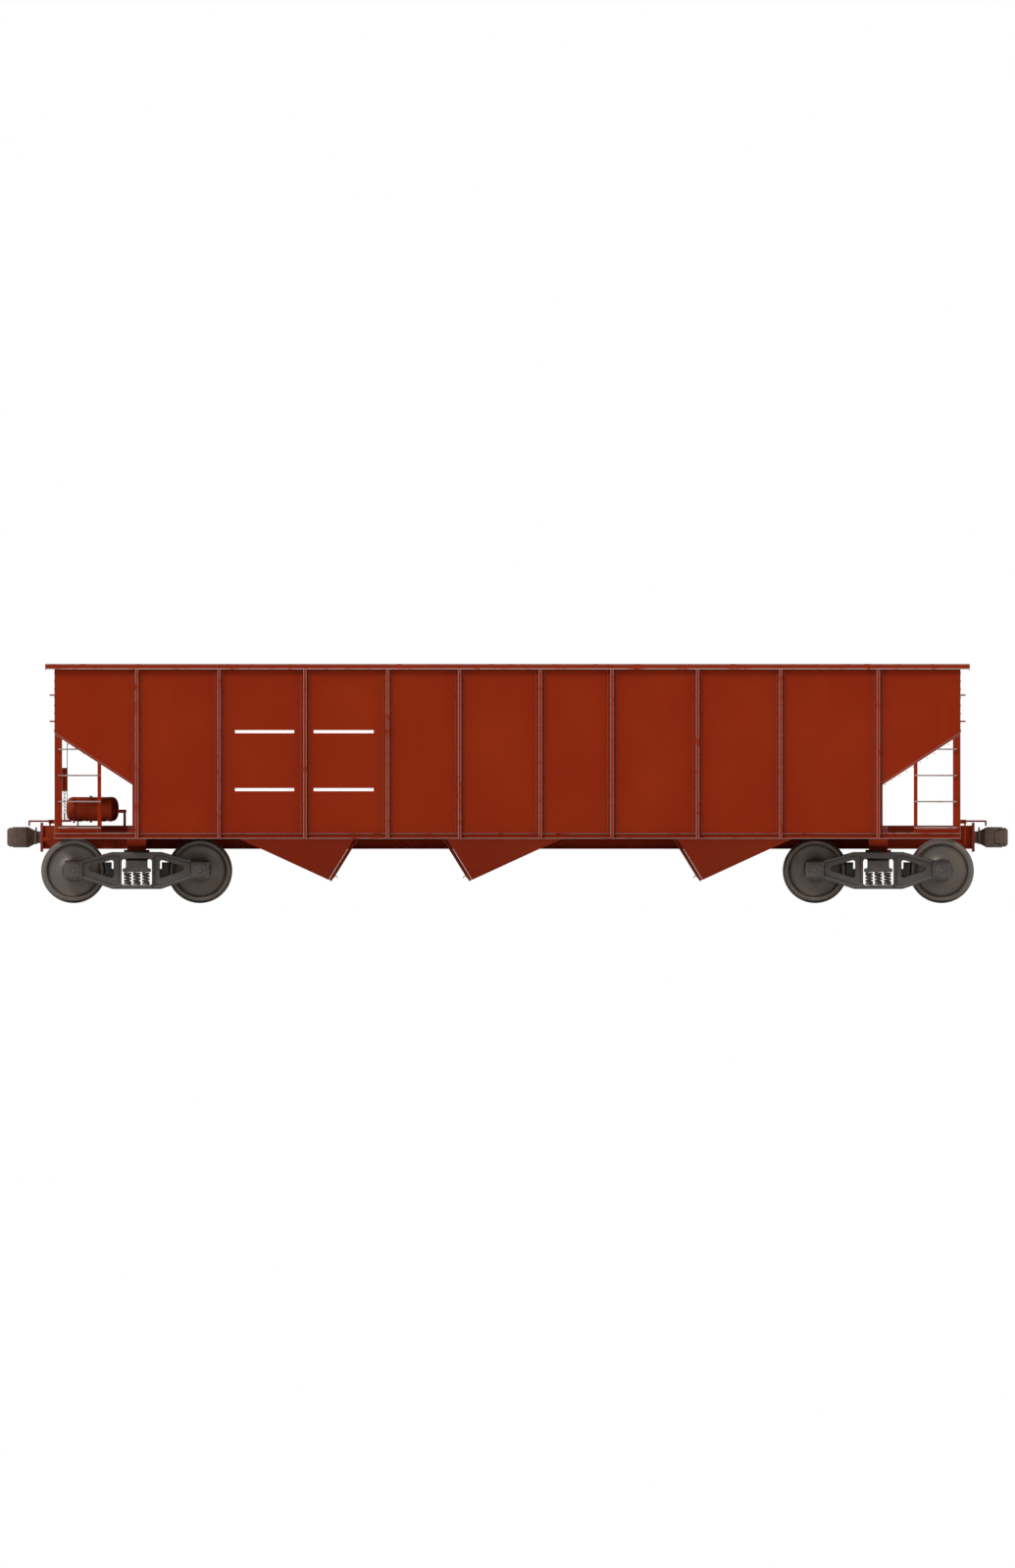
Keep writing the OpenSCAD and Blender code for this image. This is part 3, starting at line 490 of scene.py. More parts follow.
def eased(outline, radius, steps=4, closed=True):
    """Outline or path with each corner eased. The curve at a corner B between A and C is the
    quadratic (1-s)^2 P + 2s(1-s) B + s^2 Q, where P and Q lie radius / tan(half the inner angle)
    from B towards A and C, and never past 0.45 of the way."""
    corner = np.asarray(outline, float)
    before, after = np.roll(corner, 1, axis=0) - corner, np.roll(corner, -1, axis=0) - corner
    long_before, long_after = np.linalg.norm(before, axis=1), np.linalg.norm(after, axis=1)
    before, after = before / long_before[:, None], after / long_after[:, None]
    half = 0.5 * np.arccos(np.clip((before * after).sum(1), -1, 1))
    reach = np.minimum(radius / np.tan(np.maximum(half, 0.05)), 0.45 * np.minimum(long_before, long_after))
    s = np.linspace(0, 1, steps + 1)[None, :, None]
    start, end = corner + before * reach[:, None], corner + after * reach[:, None]
    curve = (1 - s) ** 2 * start[:, None] + 2 * s * (1 - s) * corner[:, None] + s ** 2 * end[:, None]
    if closed:
        return curve.reshape(-1, corner.shape[1])
    return np.concatenate([corner[:1], curve[1:-1].reshape(-1, corner.shape[1]), corner[-1:]])


def arc_wear_and_highlight(per_corner, steps=4):
    """Edge grey per eased point, rubbed paint and painted highlight: a corner's value on its arc, 0 at ends.
    """
    return np.outer(per_corner, [0] + [1] * (steps - 1) + [0]).ravel()


def tube(path, radius, across, around=10):
    """Rings round a path: centre + radius (cos a * side + sin a * up), where side is the tangent
    crossed with a fixed direction and up is side crossed with the tangent."""
    path = np.asarray(path, float)
    tangent = np.gradient(path, axis=0)
    tangent /= np.linalg.norm(tangent, axis=1)[:, None]
    side = np.cross(tangent, across)
    side /= np.linalg.norm(side, axis=1)[:, None]
    up = np.cross(side, tangent)
    a = np.linspace(0, 2 * np.pi, around, endpoint=False)[None, :, None]
    return path[:, None] + radius * (np.cos(a) * side[:, None] + np.sin(a) * up[:, None])


def turned(profile, centre, axis, around):
    """Rings carried round an axis that lies along X, Y or Z: a profile point (along, radius)
    becomes centre + along * axis + radius (cos a * u + sin a * v), with u and v square to it."""
    axis = np.asarray(axis, float)
    u = np.roll(axis, 1)
    v = np.cross(axis, u)
    a = np.linspace(0, 2 * np.pi, around, endpoint=False)[None, :, None]
    profile = np.asarray(profile, float)
    return (np.asarray(centre) + profile[:, :1, None] * axis
            + profile[:, 1:, None] * (np.cos(a) * u + np.sin(a) * v))


def spun(profile, centre, axis, around=48):
    """Points and faces of a profile turned round an axis, with flat caps."""
    return skin(turned(profile, centre, axis, around))


def extruded(outline, plane, low, high):
    """A closed outline carried along the axis plane (0, 1 or 2) from low to high."""
    others = [axis for axis in range(3) if axis != plane]
    rings = np.zeros((2, len(outline), 3))
    rings[:, :, others] = outline
    rings[0, :, plane], rings[1, :, plane] = low, high
    return rings


# %% [markdown]
# The side posts are pressed from flat plate, so their corners are rounded by the press and their
# feet lie flat on the sheet. A drawing's square box section looks too sharp, so each row of posts
# is swept again from the same sizes with eased corners. The outer corners of the crown are painted
# grey in full and the feet less so. This grey is worn paint where a passing chain rubs first, and
# also a painted highlight along the post's edges.

# %% Side posts
POST_T = 0.006
PRESS_R = 0.009
post_low, post_high = corners("side_posts_right")


def post_row(side):
    """Every post of one side: a hat-shaped outline carried up from the sill to the chord."""
    crown, foot = CROWN / 2, FLANGE / 2
    hat = np.array([(foot, 0), (foot, POST_T), (crown, POST_T), (crown, POST_FACE - SIDE),
                    (-crown, POST_FACE - SIDE), (-crown, POST_T), (-foot, POST_T), (-foot, 0)])
    outline = eased(hat, np.array([0.001, 0.002, 0.006, PRESS_R, PRESS_R, 0.006, 0.002, 0.001]))
    # Grey at the crown corners and feet: rubbed paint and a painted edge highlight.
    wear_and_highlight = arc_wear_and_highlight([0.7, 0.7, 0.0, 1.0, 1.0, 0.0, 0.7, 0.7])
    outline[:, 1] = side * (SIDE + outline[:, 1])
    one, faces = skin(extruded(outline, 2, post_low[2], post_high[2]))
    points, faces = repeat(one, faces, np.stack([POST_X, 0 * POST_X, 0 * POST_X], axis=1))
    return points, faces, np.tile(wear_and_highlight, 2 * len(POST_X))


for side, name in ((1, "right"), (-1, "left")):
    points, faces, wear_and_highlight = post_row(side)
    posts = add_piece("pressed_posts_" + name, points, faces, body_paint, "side_posts_" + name, wear_and_highlight)
    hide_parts("side_posts_" + name)
print("post corners:", len(points))

# %% [markdown]
# The top chord is a rolled section that closes the tops of the posts. Loading chutes scrape its
# outer face. The lips at the top and foot of that face are painted grey, both as that worn paint and
# as a painted highlight along both lips. It is the imported model's section with eased corners.

# %% Top chords
chord_low, chord_high = corners("top_chords")
CHORD_T = 0.008
LIP = 0.015


def chord(side):
    """The chord's outline across the wagon, carried from end to end."""
    low, top = chord_low[2], chord_high[2]
    outline = np.array([(INSIDE, top), (INSIDE, top - CHORD_T), (SIDE, top - CHORD_T), (SIDE, low),
                        (SIDE + CHORD_T, low), (SIDE + CHORD_T, top - CHORD_T),
                        (POST_FACE - CHORD_T, top - CHORD_T), (POST_FACE - CHORD_T, low),
                        (POST_FACE - 0.003, low), (POST_FACE, low + LIP), (POST_FACE, top - LIP),
                        (POST_FACE - 0.005, top)])
    curve = eased(outline, np.array([5, 1, 3, 2, 2, 5, 5, 2, 2, 2, 2, 4]) * 0.001)
    # Grey on the lips and corners: scraped paint and a painted edge highlight.
    wear_and_highlight = arc_wear_and_highlight([1, 0, 0, 0, 0, 0, 0, 1, 1, 1, 1, 1])
    near_lip = (curve[:, 1] < low + LIP * 1.01) | (curve[:, 1] > top - LIP * 1.01)
    scraped_and_highlit = (curve[:, 0] > POST_FACE - 0.0052) & near_lip
    wear_and_highlight[scraped_and_highlit] = 1
    curve[:, 0] *= side
    points, faces = skin(extruded(curve, 0, chord_low[0], chord_high[0]))
    return points, faces, np.tile(wear_and_highlight, 2)


right, left = chord(1), chord(-1)
points, faces = joined(right[:2], left[:2])
rolled = add_piece("rolled_chords", points, faces, body_paint, "top_chords",
                   np.concatenate([right[2], left[2]]))
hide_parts("top_chords")

# %% [markdown]
# Most other pieces that were sheared or bent have a broken edge that catches a line of light. A
# copy of each one has its loose triangles joined and its sharp edges cut back by a small bevel,
# whose faces are painted grey as rubbed paint and a painted edge highlight. The copy then stands
# for the imported piece.

# %% Softened copies
def welded(node):
    """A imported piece's mesh, open for editing, with its loose triangles joined."""
    work = bmesh.new()
    work.from_mesh(frame["nodes"][node].data)
    bmesh.ops.remove_doubles(work, verts=work.verts, dist=2e-5)
    return work


def softened(node, width, material, bars_beyond=None):
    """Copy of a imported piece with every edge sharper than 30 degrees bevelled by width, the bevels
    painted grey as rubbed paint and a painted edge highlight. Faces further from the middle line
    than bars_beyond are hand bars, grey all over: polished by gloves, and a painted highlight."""
    work = welded(node)
    bmesh.ops.dissolve_limit(work, angle_limit=np.radians(0.5), verts=work.verts, edges=work.edges)
    layer = work.faces.layers.float.new("wear_and_highlight")
    sharp = [edge for edge in work.edges if edge.is_manifold and edge.calc_face_angle() > np.radians(30)]
    cut = bmesh.ops.bevel(work, geom=sharp, offset=width, segments=2, profile=0.5,
                          affect="EDGES", clamp_overlap=True)
    # Bevel faces grey: rubbed paint and a painted edge highlight.
    for face in cut["faces"]:
        face[layer] = 1.0
    # Hand bars grey all over: glove polish and a painted highlight.
    if bars_beyond is not None:
        for face in work.faces:
            face[layer] = max(face[layer], float(abs(face.calc_center_median().y) > bars_beyond))
    open_edges = sum(not edge.is_manifold for edge in work.edges)
    mesh = bpy.data.meshes.new("soft_" + node)
    work.to_mesh(mesh)
    work.free()
    mesh.polygons.foreach_set("use_smooth", np.ones(len(mesh.polygons), bool))
    mesh.set_sharp_from_angle(angle=np.radians(32))
    mesh.materials.append(material)
    made = placed("soft_" + node, mesh, node)
    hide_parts(node)
    print(node, "faces", len(mesh.polygons), "open edges", open_edges)


SOFTEN = {
    "side_sills": 0.003, "end_caps": 0.003, "end_sills": 0.002, "end_posts": 0.0035,
    "brake_platform": 0.002, "strikers": 0.004, "body_bolsters": 0.003, "center_sill": 0.003,
    "hopper_door_1": 0.002, "hopper_door_2": 0.002, "hopper_door_3": 0.002,
    "hopper_chute_1": 0.002, "hopper_chute_2": 0.002, "hopper_chute_3": 0.002,
    "brake_beams_a": 0.004, "brake_beams_b": 0.004, "control_valve": 0.006,
}
for node, width in SOFTEN.items():
    softened(node, width, FINISH[slot_of[node]])
softened("side_ladders", 0.0035, body_paint, bars_beyond=INSIDE + 0.02)

# %% [markdown]
# Truck castings and couplers are poured in sand, so every corner, inside and out, is a generous
# fillet. Bevels alone leave the inner corners sharp. A voxel remesh turns the copy into an even
# skin, a few smoothing passes round all of its corners alike, and a final thinning keeps it light.

# %% Cast pieces
def cast_copy(node, voxel, passes, keep):
    """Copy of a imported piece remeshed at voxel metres, smoothed, and thinned to a share keep."""
    work = welded(node)
    mesh = bpy.data.meshes.new("cast_" + node)
    work.to_mesh(mesh)
    work.free()
    made = bpy.data.objects.new("cast_" + node, mesh)
    bpy.context.collection.objects.link(made)
    remesh = made.modifiers.new("remesh", "REMESH")
    remesh.mode = "VOXEL"
    remesh.voxel_size = voxel
    smooth = made.modifiers.new("smooth", "SMOOTH")
    smooth.factor = 0.5
    smooth.iterations = passes
    thin = made.modifiers.new("thin", "DECIMATE")
    thin.ratio = keep
    depth = bpy.context.evaluated_depsgraph_get()
    final = bpy.data.meshes.new_from_object(made.evaluated_get(depth))
    made.modifiers.clear()
    made.data = final
    final.name = "cast_" + node
    final.polygons.foreach_set("use_smooth", np.ones(len(final.polygons), bool))
    final.materials.clear()
    final.materials.append(FINISH[slot_of[node]])
    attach(made, body_of[node])
    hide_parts(node)
    print(node, "faces", len(final.polygons))


CASTINGS = {
    "side_frames": (0.010, 5, 0.35), "truck_bolster": (0.010, 5, 0.35),
    "coupler": (0.006, 5, 0.4), "knuckle": (0.005, 4, 0.5),
}
for kind, (voxel, passes, keep) in CASTINGS.items():
    for end in "ab":
        cast_copy(kind + "_" + end, voxel, passes, keep)

# %% [markdown]
# The body is held together by about two thousand rivets, and nothing says riveted steel as
# plainly. A head is one low dome of three rings. Each row makes one head of its own size and copies
# it to a whole grid of places at once, which is far quicker than an object for every rivet. The
# places are worked out from the posts, the sill, the chord, the end slopes and the end sheets.

# %% Rivet heads
RIVET_STEP = 0.115
SILL_PLATE = 0.008
SILL_ROW = 0.0365
PAIR_HALF = 0.012
CHORD_ROWS = (0.026, 0.052)
SLOPE_DROP = 0.035


def rivet_heads(places, outward, radius=0.011):
    """A dome turned round the outward axis, its foot a little inside the plate, at each place."""
    dome = radius * np.array([(-0.25, 1.0), (0.42, 0.9), (0.72, 0.45)])
    return repeat(*spun(dome, (0, 0, 0), outward, 8), places)


def grid(xs, ys, zs):
    """Every combination of three lists of coordinates, as an array of places."""
    return np.stack(np.meshgrid(xs, ys, zs, indexing="ij"), axis=-1).reshape(-1, 3)


def clear_of_posts(places, room=0.075):
    """The places that are at least room away from every side post."""
    near = np.abs(places[:, :1] - POST_X[None]).min(axis=1)
    return places[near > room]


def along(start, end, step):
    """Evenly spaced numbers from start to end, about step apart."""
    return np.linspace(start, end, int(round(abs(end - start) / step)) + 1)


peak_a, peak_b = (node_points("cross_ridge_" + end) for end in "ab")
peak_a, peak_b = peak_a[peak_a[:, 2].argmax()], peak_b[peak_b[:, 2].argmax()]
slope_a_low, slope_a_high = corners("slope_sheet_a")
slope_b_low, slope_b_high = corners("slope_sheet_b")
ridge_a_low, ridge_a_high = corners("cross_ridge_a")
ridge_b_low, ridge_b_high = corners("cross_ridge_b")
LOAD_FLOOR = np.array([
    (slope_a_low[0], slope_a_high[2]), (slope_a_high[0], slope_a_low[2]),
    (ridge_a_low[0], ridge_a_low[2]), (peak_a[0], peak_a[2]), (ridge_a_high[0], ridge_a_low[2]),
    (ridge_b_low[0], ridge_b_low[2]), (peak_b[0], peak_b[2]), (ridge_b_high[0], ridge_b_low[2]),
    (slope_b_low[0], slope_b_low[2]), (slope_b_high[0], slope_b_high[2])])
CHORD_Z = chord_low[2]
post_rows = np.concatenate([POST_X - (CROWN + FLANGE) / 4, POST_X + (CROWN + FLANGE) / 4])
post_heights = along(post_low[2] + 0.12, CHORD_Z - 0.04, RIVET_STEP)
end_heights = along(slope_a_high[2] + 0.06, CHORD_Z - 0.05, RIVET_STEP)
slope_step = np.linspace(0.03, 0.97, 22)[:, None]
for side, name in ((1, "right"), (-1, "left")):
    y = side * SIDE
    sill_row = clear_of_posts(grid(along(-HALF + 0.08, HALF - 0.08, RIVET_STEP),
                                   [y + side * SILL_PLATE], [SILL_Z + SILL_ROW]))
    slopes = [np.hstack([near + slope_step * (foot - near), 0 * slope_step])[:, [0, 2, 1]]
              + (0, y, -SLOPE_DROP)
              for near, foot in ((LOAD_FLOOR[0], LOAD_FLOOR[1]), (LOAD_FLOOR[-1], LOAD_FLOOR[-2]))]
    slopes = clear_of_posts(np.concatenate(slopes))
    slopes = slopes[np.abs(slopes[:, 0]) < HALF - 0.12]
    outward = (0, side, 0)
    shapes = [
        rivet_heads(grid(post_rows, [y + side * POST_T], post_heights), outward),
        rivet_heads(sill_row, outward, 0.010),
        rivet_heads(slopes, outward, 0.008),
        rivet_heads(grid([-HALF + 0.05, HALF - 0.05], [y], end_heights), outward, 0.010),
        rivet_heads(grid(np.concatenate([POST_X - PAIR_HALF, POST_X + PAIR_HALF]), [side * POST_FACE],
                         [CHORD_Z + row for row in CHORD_ROWS]), outward, 0.007),
    ]
    inner = grid(post_rows, [side * INSIDE], post_heights)
    floor_here = np.interp(inner[:, 0], LOAD_FLOOR[:, 0], LOAD_FLOOR[:, 1])
    shapes.append(rivet_heads(inner[inner[:, 2] > floor_here + 0.05], (0, -side, 0), 0.010))
    points, faces = joined(*shapes)
    add_piece("rivets_" + name, points, faces, body_paint, "side_sheet_" + name)
    print(name, "rivet faces", len(faces))

ends = []
for sign in (-1, 1):
    places = np.concatenate([
        grid([sign * HALF], [-INSIDE + 0.05, INSIDE - 0.05], end_heights),
        grid([sign * HALF], along(-INSIDE + 0.16, INSIDE - 0.16, RIVET_STEP), [slope_a_high[2] + 0.04]),
        grid([sign * HALF], [-0.5, 0.5], end_heights[1:])])
    ends.append(rivet_heads(places, (sign, 0, 0), 0.010))
add_piece("rivets_ends", *joined(*ends), body_paint, "end_sheets")

# %% [markdown]
# Each side carries four white stripes, two above and two below the place where a wagon's marks
# would be. The marks themselves are left off. Stencilled paint has a thickness, so a stripe is a
# very thin plate with eased corners on the sheet between two posts. The other side is the same
# seen from its own side, so it is half a turn round.

# %% Stripes
STRIPE_T = 0.0006
STRIPE_H = 0.039
STRIPE_Z = (1.552, 2.345)
STRIPE_X = ((POST_X[1] + 0.220, POST_X[2] - 0.148), (POST_X[2] + 0.120, POST_X[3] - 0.190))


def stripes(turn):
    """The four thin plates of one side. turn is 1 for the left side and -1 for the right."""
    plates = []
    for start, end in STRIPE_X:
        for z in STRIPE_Z:
            outline = eased([(start, z - STRIPE_H / 2), (end, z - STRIPE_H / 2),
                             (end, z + STRIPE_H / 2), (start, z + STRIPE_H / 2)], 0.003) * (turn, 1)
            plates.append(skin(extruded(outline, 1, -turn * (SIDE + STRIPE_T), -turn * (SIDE - STRIPE_T))))
    return joined(*plates)


add_piece("stripes_left", *stripes(1), stencil_white, "side_sheet_left")
add_piece("stripes_right", *stripes(-1), stencil_white, "side_sheet_right")

# %% [markdown]
# Wheels are rolled and then turned, and an axle is turned between centres, so both are outlines
# carried round the Y axis. The wheel's outline starts coarse and has its corners cut off twice,
# each new point lying a quarter of the way along an edge, which turns every corner into the easy
# fillet between hub, plate and rim.

# %% Wheels and axles
def corner_cut(outline, rounds):
    """Each round swaps every edge's ends for the points at a quarter and three quarters of it."""
    for _ in range(rounds):
        following = np.roll(outline, -1, axis=0)
        outline = np.stack([0.75 * outline + 0.25 * following, 0.25 * outline + 0.75 * following],
                           axis=1).reshape(-1, 2)
    return outline


SEAT_R = 0.0911
HUB_R = 0.146
HUB_EDGE_R = 0.138
HUB_START, HUB_END = -0.022, 0.156
PLATE_IN_R, PLATE_OUT_R = 0.210, 0.300
RIM_W = 0.140
FLANGE_H = 0.025
RIM_DEPTH = 0.082
JOURNAL_R = 0.0758
COLLAR_R = 0.0905
JOURNAL_START, COLLAR_OUT, COLLAR_IN = 0.862, 0.845, 0.640
axle_places = {}
for number in "1234":
    wheel_low, wheel_high = corners("wheels_" + number)
    middle = 0.5 * (wheel_low + wheel_high)
    flange_r = 0.5 * (wheel_high[0] - wheel_low[0])
    tread_r, rim_r = flange_r - FLANGE_H, flange_r - RIM_DEPTH
    coarse = np.array([
        (HUB_START, SEAT_R), (HUB_START, HUB_EDGE_R), (0.014, HUB_R), (0.044, PLATE_IN_R),
        (0.058, PLATE_OUT_R), (0.044, rim_r - 0.010), (0.0, rim_r), (0.0, tread_r + 0.010),
        (0.001, flange_r - 0.006),
        (0.008, flange_r), (0.018, flange_r), (0.024, flange_r - 0.012), (0.032, tread_r + 0.003),
        (0.050, tread_r), (RIM_W - 0.006, tread_r - 0.004), (RIM_W, tread_r - 0.010), (RIM_W, rim_r),
        (0.096, rim_r - 0.010), (0.084, PLATE_OUT_R), (0.092, PLATE_IN_R), (0.118, HUB_R),
        (HUB_END, HUB_EDGE_R), (HUB_END, SEAT_R)])
    outline = corner_cut(coarse, 2)
    pair = [skin(turned(outline, (middle[0], side * (wheel_high[1] - HUB_END), middle[2]), (0, side, 0), 64)
                 .transpose(1, 0, 2), closed=True) for side in (1, -1)]
    wheel = add_piece("turned_wheels_" + number, *joined(*pair), wheel_steel, "wheels_" + number)
    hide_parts("wheels_" + number)
    end_y = corners("axle_" + number)[1][1]
    half = [(end_y, 0.015), (end_y, 0.068), (end_y - 0.006, JOURNAL_R), (JOURNAL_START, JOURNAL_R),
            (COLLAR_OUT, COLLAR_R), (COLLAR_IN, COLLAR_R), (0.600, 0.081)]
    profile = np.array([(-y, r) for y, r in half] + [(0, 0.077)] + half[::-1])
    profile = eased(profile, 0.008, 3, closed=False)
    axle = add_piece("turned_axle_" + number, *spun(profile, (middle[0], 0, middle[2]), (0, 1, 0)),
                     axle_steel, "axle_" + number)
    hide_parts("axle_" + number)
    axle_places[number] = middle
print("axles at", [place.round(3).tolist() for place in axle_places.values()])

# %% [markdown]
# Under each end of a truck bolster sit six coil springs, each with a smaller coil wound the other
# way inside it. A coil is a helix that lies nearly flat at both ends, because the ends are ground
# to stand on the seat.

# %% Coil springs
COIL_R = 0.056
COIL_ROW = 0.120
OUTER_WIRE, INNER_WIRE = 0.0125, 0.008
INNER_COIL_R = 0.023


def coil(radius, wire, turns, low, high, hand):
    """A tube along (R cos a, R sin a, z), with z slowed down near both ends."""
    t = np.linspace(0, 1, int(turns * 16) + 1)
    a = hand * 2 * np.pi * turns * t
    rise = np.interp(t, [0, 0.13, 0.87, 1], [0, 0.05, 0.95, 1])
    z = low + wire + rise * (high - low - 2 * wire)
    return skin(tube(np.stack([radius * np.cos(a), radius * np.sin(a), z], axis=1), wire, (0, 0, 1), 8))


for end in "ab":
    low, high = corners("spring_groups_" + end)
    rows = np.array([high[1] - COIL_R, high[1] - COIL_R - COIL_ROW])
    places = grid(np.linspace(low[0] + COIL_R, high[0] - COIL_R, 3), np.concatenate([rows, -rows]), [0])
    outer = repeat(*coil(COIL_R - OUTER_WIRE, OUTER_WIRE, 4.5, low[2], high[2], 1), places)
    inner = repeat(*coil(INNER_COIL_R, INNER_WIRE, 6.5, low[2], high[2], -1), places)
    springs = add_piece("coil_springs_" + end, *joined(outer, inner), spring_steel, "spring_groups_" + end)
    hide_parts("spring_groups_" + end)
    print("springs", end, "faces", len(springs.data.polygons))

# %% [markdown]
# An oil box closes with a sprung lid hinged at its top. The lid is a squared oval: its outline is
# |x/a|^n + |z/b|^n = 1 with n = 4, drawn in over a few rings to a shallow crown. Hexagon nuts
# hold the columns of the frame.

# %% Box lids and nuts
LID_A, LID_B = 0.092, 0.098
LID_PIN_Z = 0.104
BOX_OUT = 0.118
RIM_OUT = 0.083
COLUMN_X = 0.222
COLUMN_NUTS_Z = [0.30, 0.40, 0.50, 0.60]


def squared_oval(a, b, n, count=32):
    """Points x = a sgn(cos t)|cos t|^(2/n), z = b sgn(sin t)|sin t|^(2/n)."""
    t = np.linspace(0, 2 * np.pi, count, endpoint=False)
    power = 2 / n
    return np.stack([a * np.sign(np.cos(t)) * np.abs(np.cos(t)) ** power,
                     b * np.sign(np.sin(t)) * np.abs(np.sin(t)) ** power], axis=1)


def lid(side):
    """Rings of the oval at (scale, height) pairs, standing out along side, about the lid's middle."""
    steps = np.array([(1.0, -0.004), (1.0, 0.006), (0.94, 0.012), (0.80, 0.015), (0.76, 0.011),
                      (0.40, 0.012), (0.34, 0.022), (0.20, 0.026)])
    oval = squared_oval(LID_A, LID_B, 4)
    rings = np.zeros((len(steps), len(oval), 3))
    rings[..., [0, 2]] = steps[:, :1, None] * oval
    rings[..., 1] = side * steps[:, 1:]
    return skin(rings)


def nuts(places, outward, radius=0.019, height=0.014):
    """Hexagon nuts with a domed bolt end, standing on the plate at each place."""
    nut = spun([(-0.002, radius), (height, radius), (height + 0.002, radius * 0.85)],
               (0, 0, 0), outward, 6)
    end = spun([(0, radius * 0.5), (height * 1.6, radius * 0.5), (height * 1.8, radius * 0.35)],
               (0, 0, 0), outward, 10)
    return repeat(*joined(nut, end), places)


for end, numbers in (("a", "12"), ("b", "34")):
    frame_low, frame_high = corners("side_frames_" + end)
    face_y = frame_high[1]
    middle_x = 0.5 * (frame_low[0] + frame_high[0])
    shapes = []
    for side in (1, -1):
        spots = [(axle_places[number][0], side * face_y, axle_places[number][2] + 0.002)
                 for number in numbers]
        shapes.append(repeat(*lid(side), spots))
        pin = spun([(-0.075, 0.011), (0.075, 0.011)], (0, 0, 0), (1, 0, 0), 12)
        shapes.append(repeat(*pin, np.array(spots) + (0, side * 0.004, LID_PIN_Z)))
        rim_y = side * (face_y - BOX_OUT + RIM_OUT)
        columns = grid([middle_x - COLUMN_X, middle_x + COLUMN_X], [rim_y], COLUMN_NUTS_Z)
        shapes.append(nuts(columns, (0, side, 0), 0.015, 0.012))
    add_piece("box_lids_" + end, *joined(*shapes), truck_black, "side_frames_" + end)

# %% [markdown]
# A sheet cut on a slant would curl, so its slanted foot is stiffened by a flat bar riveted along
# it. The bar's outline is a narrow parallelogram from the sheet's end to where its slant stops,
# and its rim is painted grey, as worn paint and a painted edge highlight.

# %% Slanted edge bars
BAR_W = 0.034
BAR_T = 0.007
BAR_RIM = 0.009
sheet_points = node_points("side_sheet_right")
EDGE_X = sheet_points[np.isclose(sheet_points[:, 2], SILL_Z), 0].max()
at_edge = sheet_points[np.isclose(sheet_points[:, 0], EDGE_X, atol=1e-4), 2]
EDGE_Z = at_edge[at_edge > SILL_Z + 0.1].min()
at_end = sheet_points[np.isclose(sheet_points[:, 0], HALF, atol=1e-4), 2]
BREAK_Z = at_end.min()
print("slant from", (HALF, BREAK_Z), "to", (EDGE_X, EDGE_Z))


def edge_bar(sign, side):
    """The bar of one corner: two long edges, the lower one on the slant, the upper one above."""
    outline = np.array([(HALF, BREAK_Z), (EDGE_X, EDGE_Z), (EDGE_X, EDGE_Z + BAR_W), (HALF, BREAK_Z + BAR_W)])
    outline = outline * (sign, 1)
    face, rim = eased(outline, 0.002, 2), eased(outline, 0.002, 2)
    middle = np.interp(np.abs(face[:, 0]), [EDGE_X, HALF], [EDGE_Z, BREAK_Z]) + BAR_W / 2
    face[:, 1] = np.where(face[:, 1] > middle, face[:, 1] - BAR_RIM, face[:, 1] + BAR_RIM)
    rings = np.zeros((3, len(rim), 3))
    rings[..., [0, 2]] = np.stack([rim, rim, face])
    rings[..., 1] = side * np.array([SIDE - 0.002, SIDE + BAR_T * 0.6, SIDE + BAR_T])[:, None]
    wear_and_highlight = np.zeros(rings.shape[:2])
    # The rim ring is grey: worn paint and a painted edge highlight.
    wear_and_highlight[1] = 1
    points, faces = skin(rings)
    return points, faces, wear_and_highlight.ravel()


bars = [edge_bar(sign, side) for sign in (-1, 1) for side in (-1, 1)]
points, faces = joined(*[bar[:2] for bar in bars])
add_piece("edge_bars", points, faces, body_paint, "side_sheet_left", np.concatenate([bar[2] for bar in bars]))

# %% [markdown]
# The air reservoir and the brake cylinder are round vessels: pressed ends welded or bolted to a
# barrel. Each is an outline turned round its own axis, with a bolted flange, and each replaces
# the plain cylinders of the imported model.

# %% Reservoir and brake cylinder
def bolt_circle(x, middle, radius, count, outward, size):
    """Nuts on a circle about a line along X: y = R cos a, z = R sin a."""
    a = np.linspace(0, 2 * np.pi, count, endpoint=False)
    places = np.stack([0 * a + x, middle[1] + radius * np.cos(a), middle[2] + radius * np.sin(a)], axis=1)
    return nuts(places, (outward, 0, 0), size, size * 0.7)


low, high = corners("air_reservoir")
middle = 0.5 * (low + high)
flange_r = 0.5 * (high[2] - low[2])
barrel = flange_r - 0.020
tank_length = high[0] - low[0]
joint_x = 0.330
arc = np.linspace(np.pi / 2 * 0.97, 0, 9)
dome = np.stack([0.085 * (1 - np.sin(arc)), barrel * np.cos(arc) ** 0.75], axis=1)
outline = np.concatenate([
    dome, [(0.100, barrel + 0.003), (0.115, barrel + 0.003), (0.118, barrel),
           (joint_x - 0.002, barrel), (joint_x, flange_r - 0.001), (joint_x + 0.020, flange_r - 0.001),
           (joint_x + 0.022, barrel), (tank_length - 0.118, barrel), (tank_length - 0.115, barrel + 0.003),
           (tank_length - 0.100, barrel + 0.003)], (tank_length, 0) + dome[::-1] * (-1, 1)])
tank = spun(outline, (low[0], middle[1], middle[2]), (1, 0, 0), 64)
bolts = [bolt_circle(low[0] + joint_x, middle, barrel + 0.009, 12, -1, 0.009),
         bolt_circle(low[0] + joint_x + 0.020, middle, barrel + 0.009, 12, 1, 0.009)]
vessel = add_piece("reservoir_tank", *joined(tank, *bolts), under_paint_lightened_for_shade, "air_reservoir")
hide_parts("air_reservoir")
RESERVOIR = middle

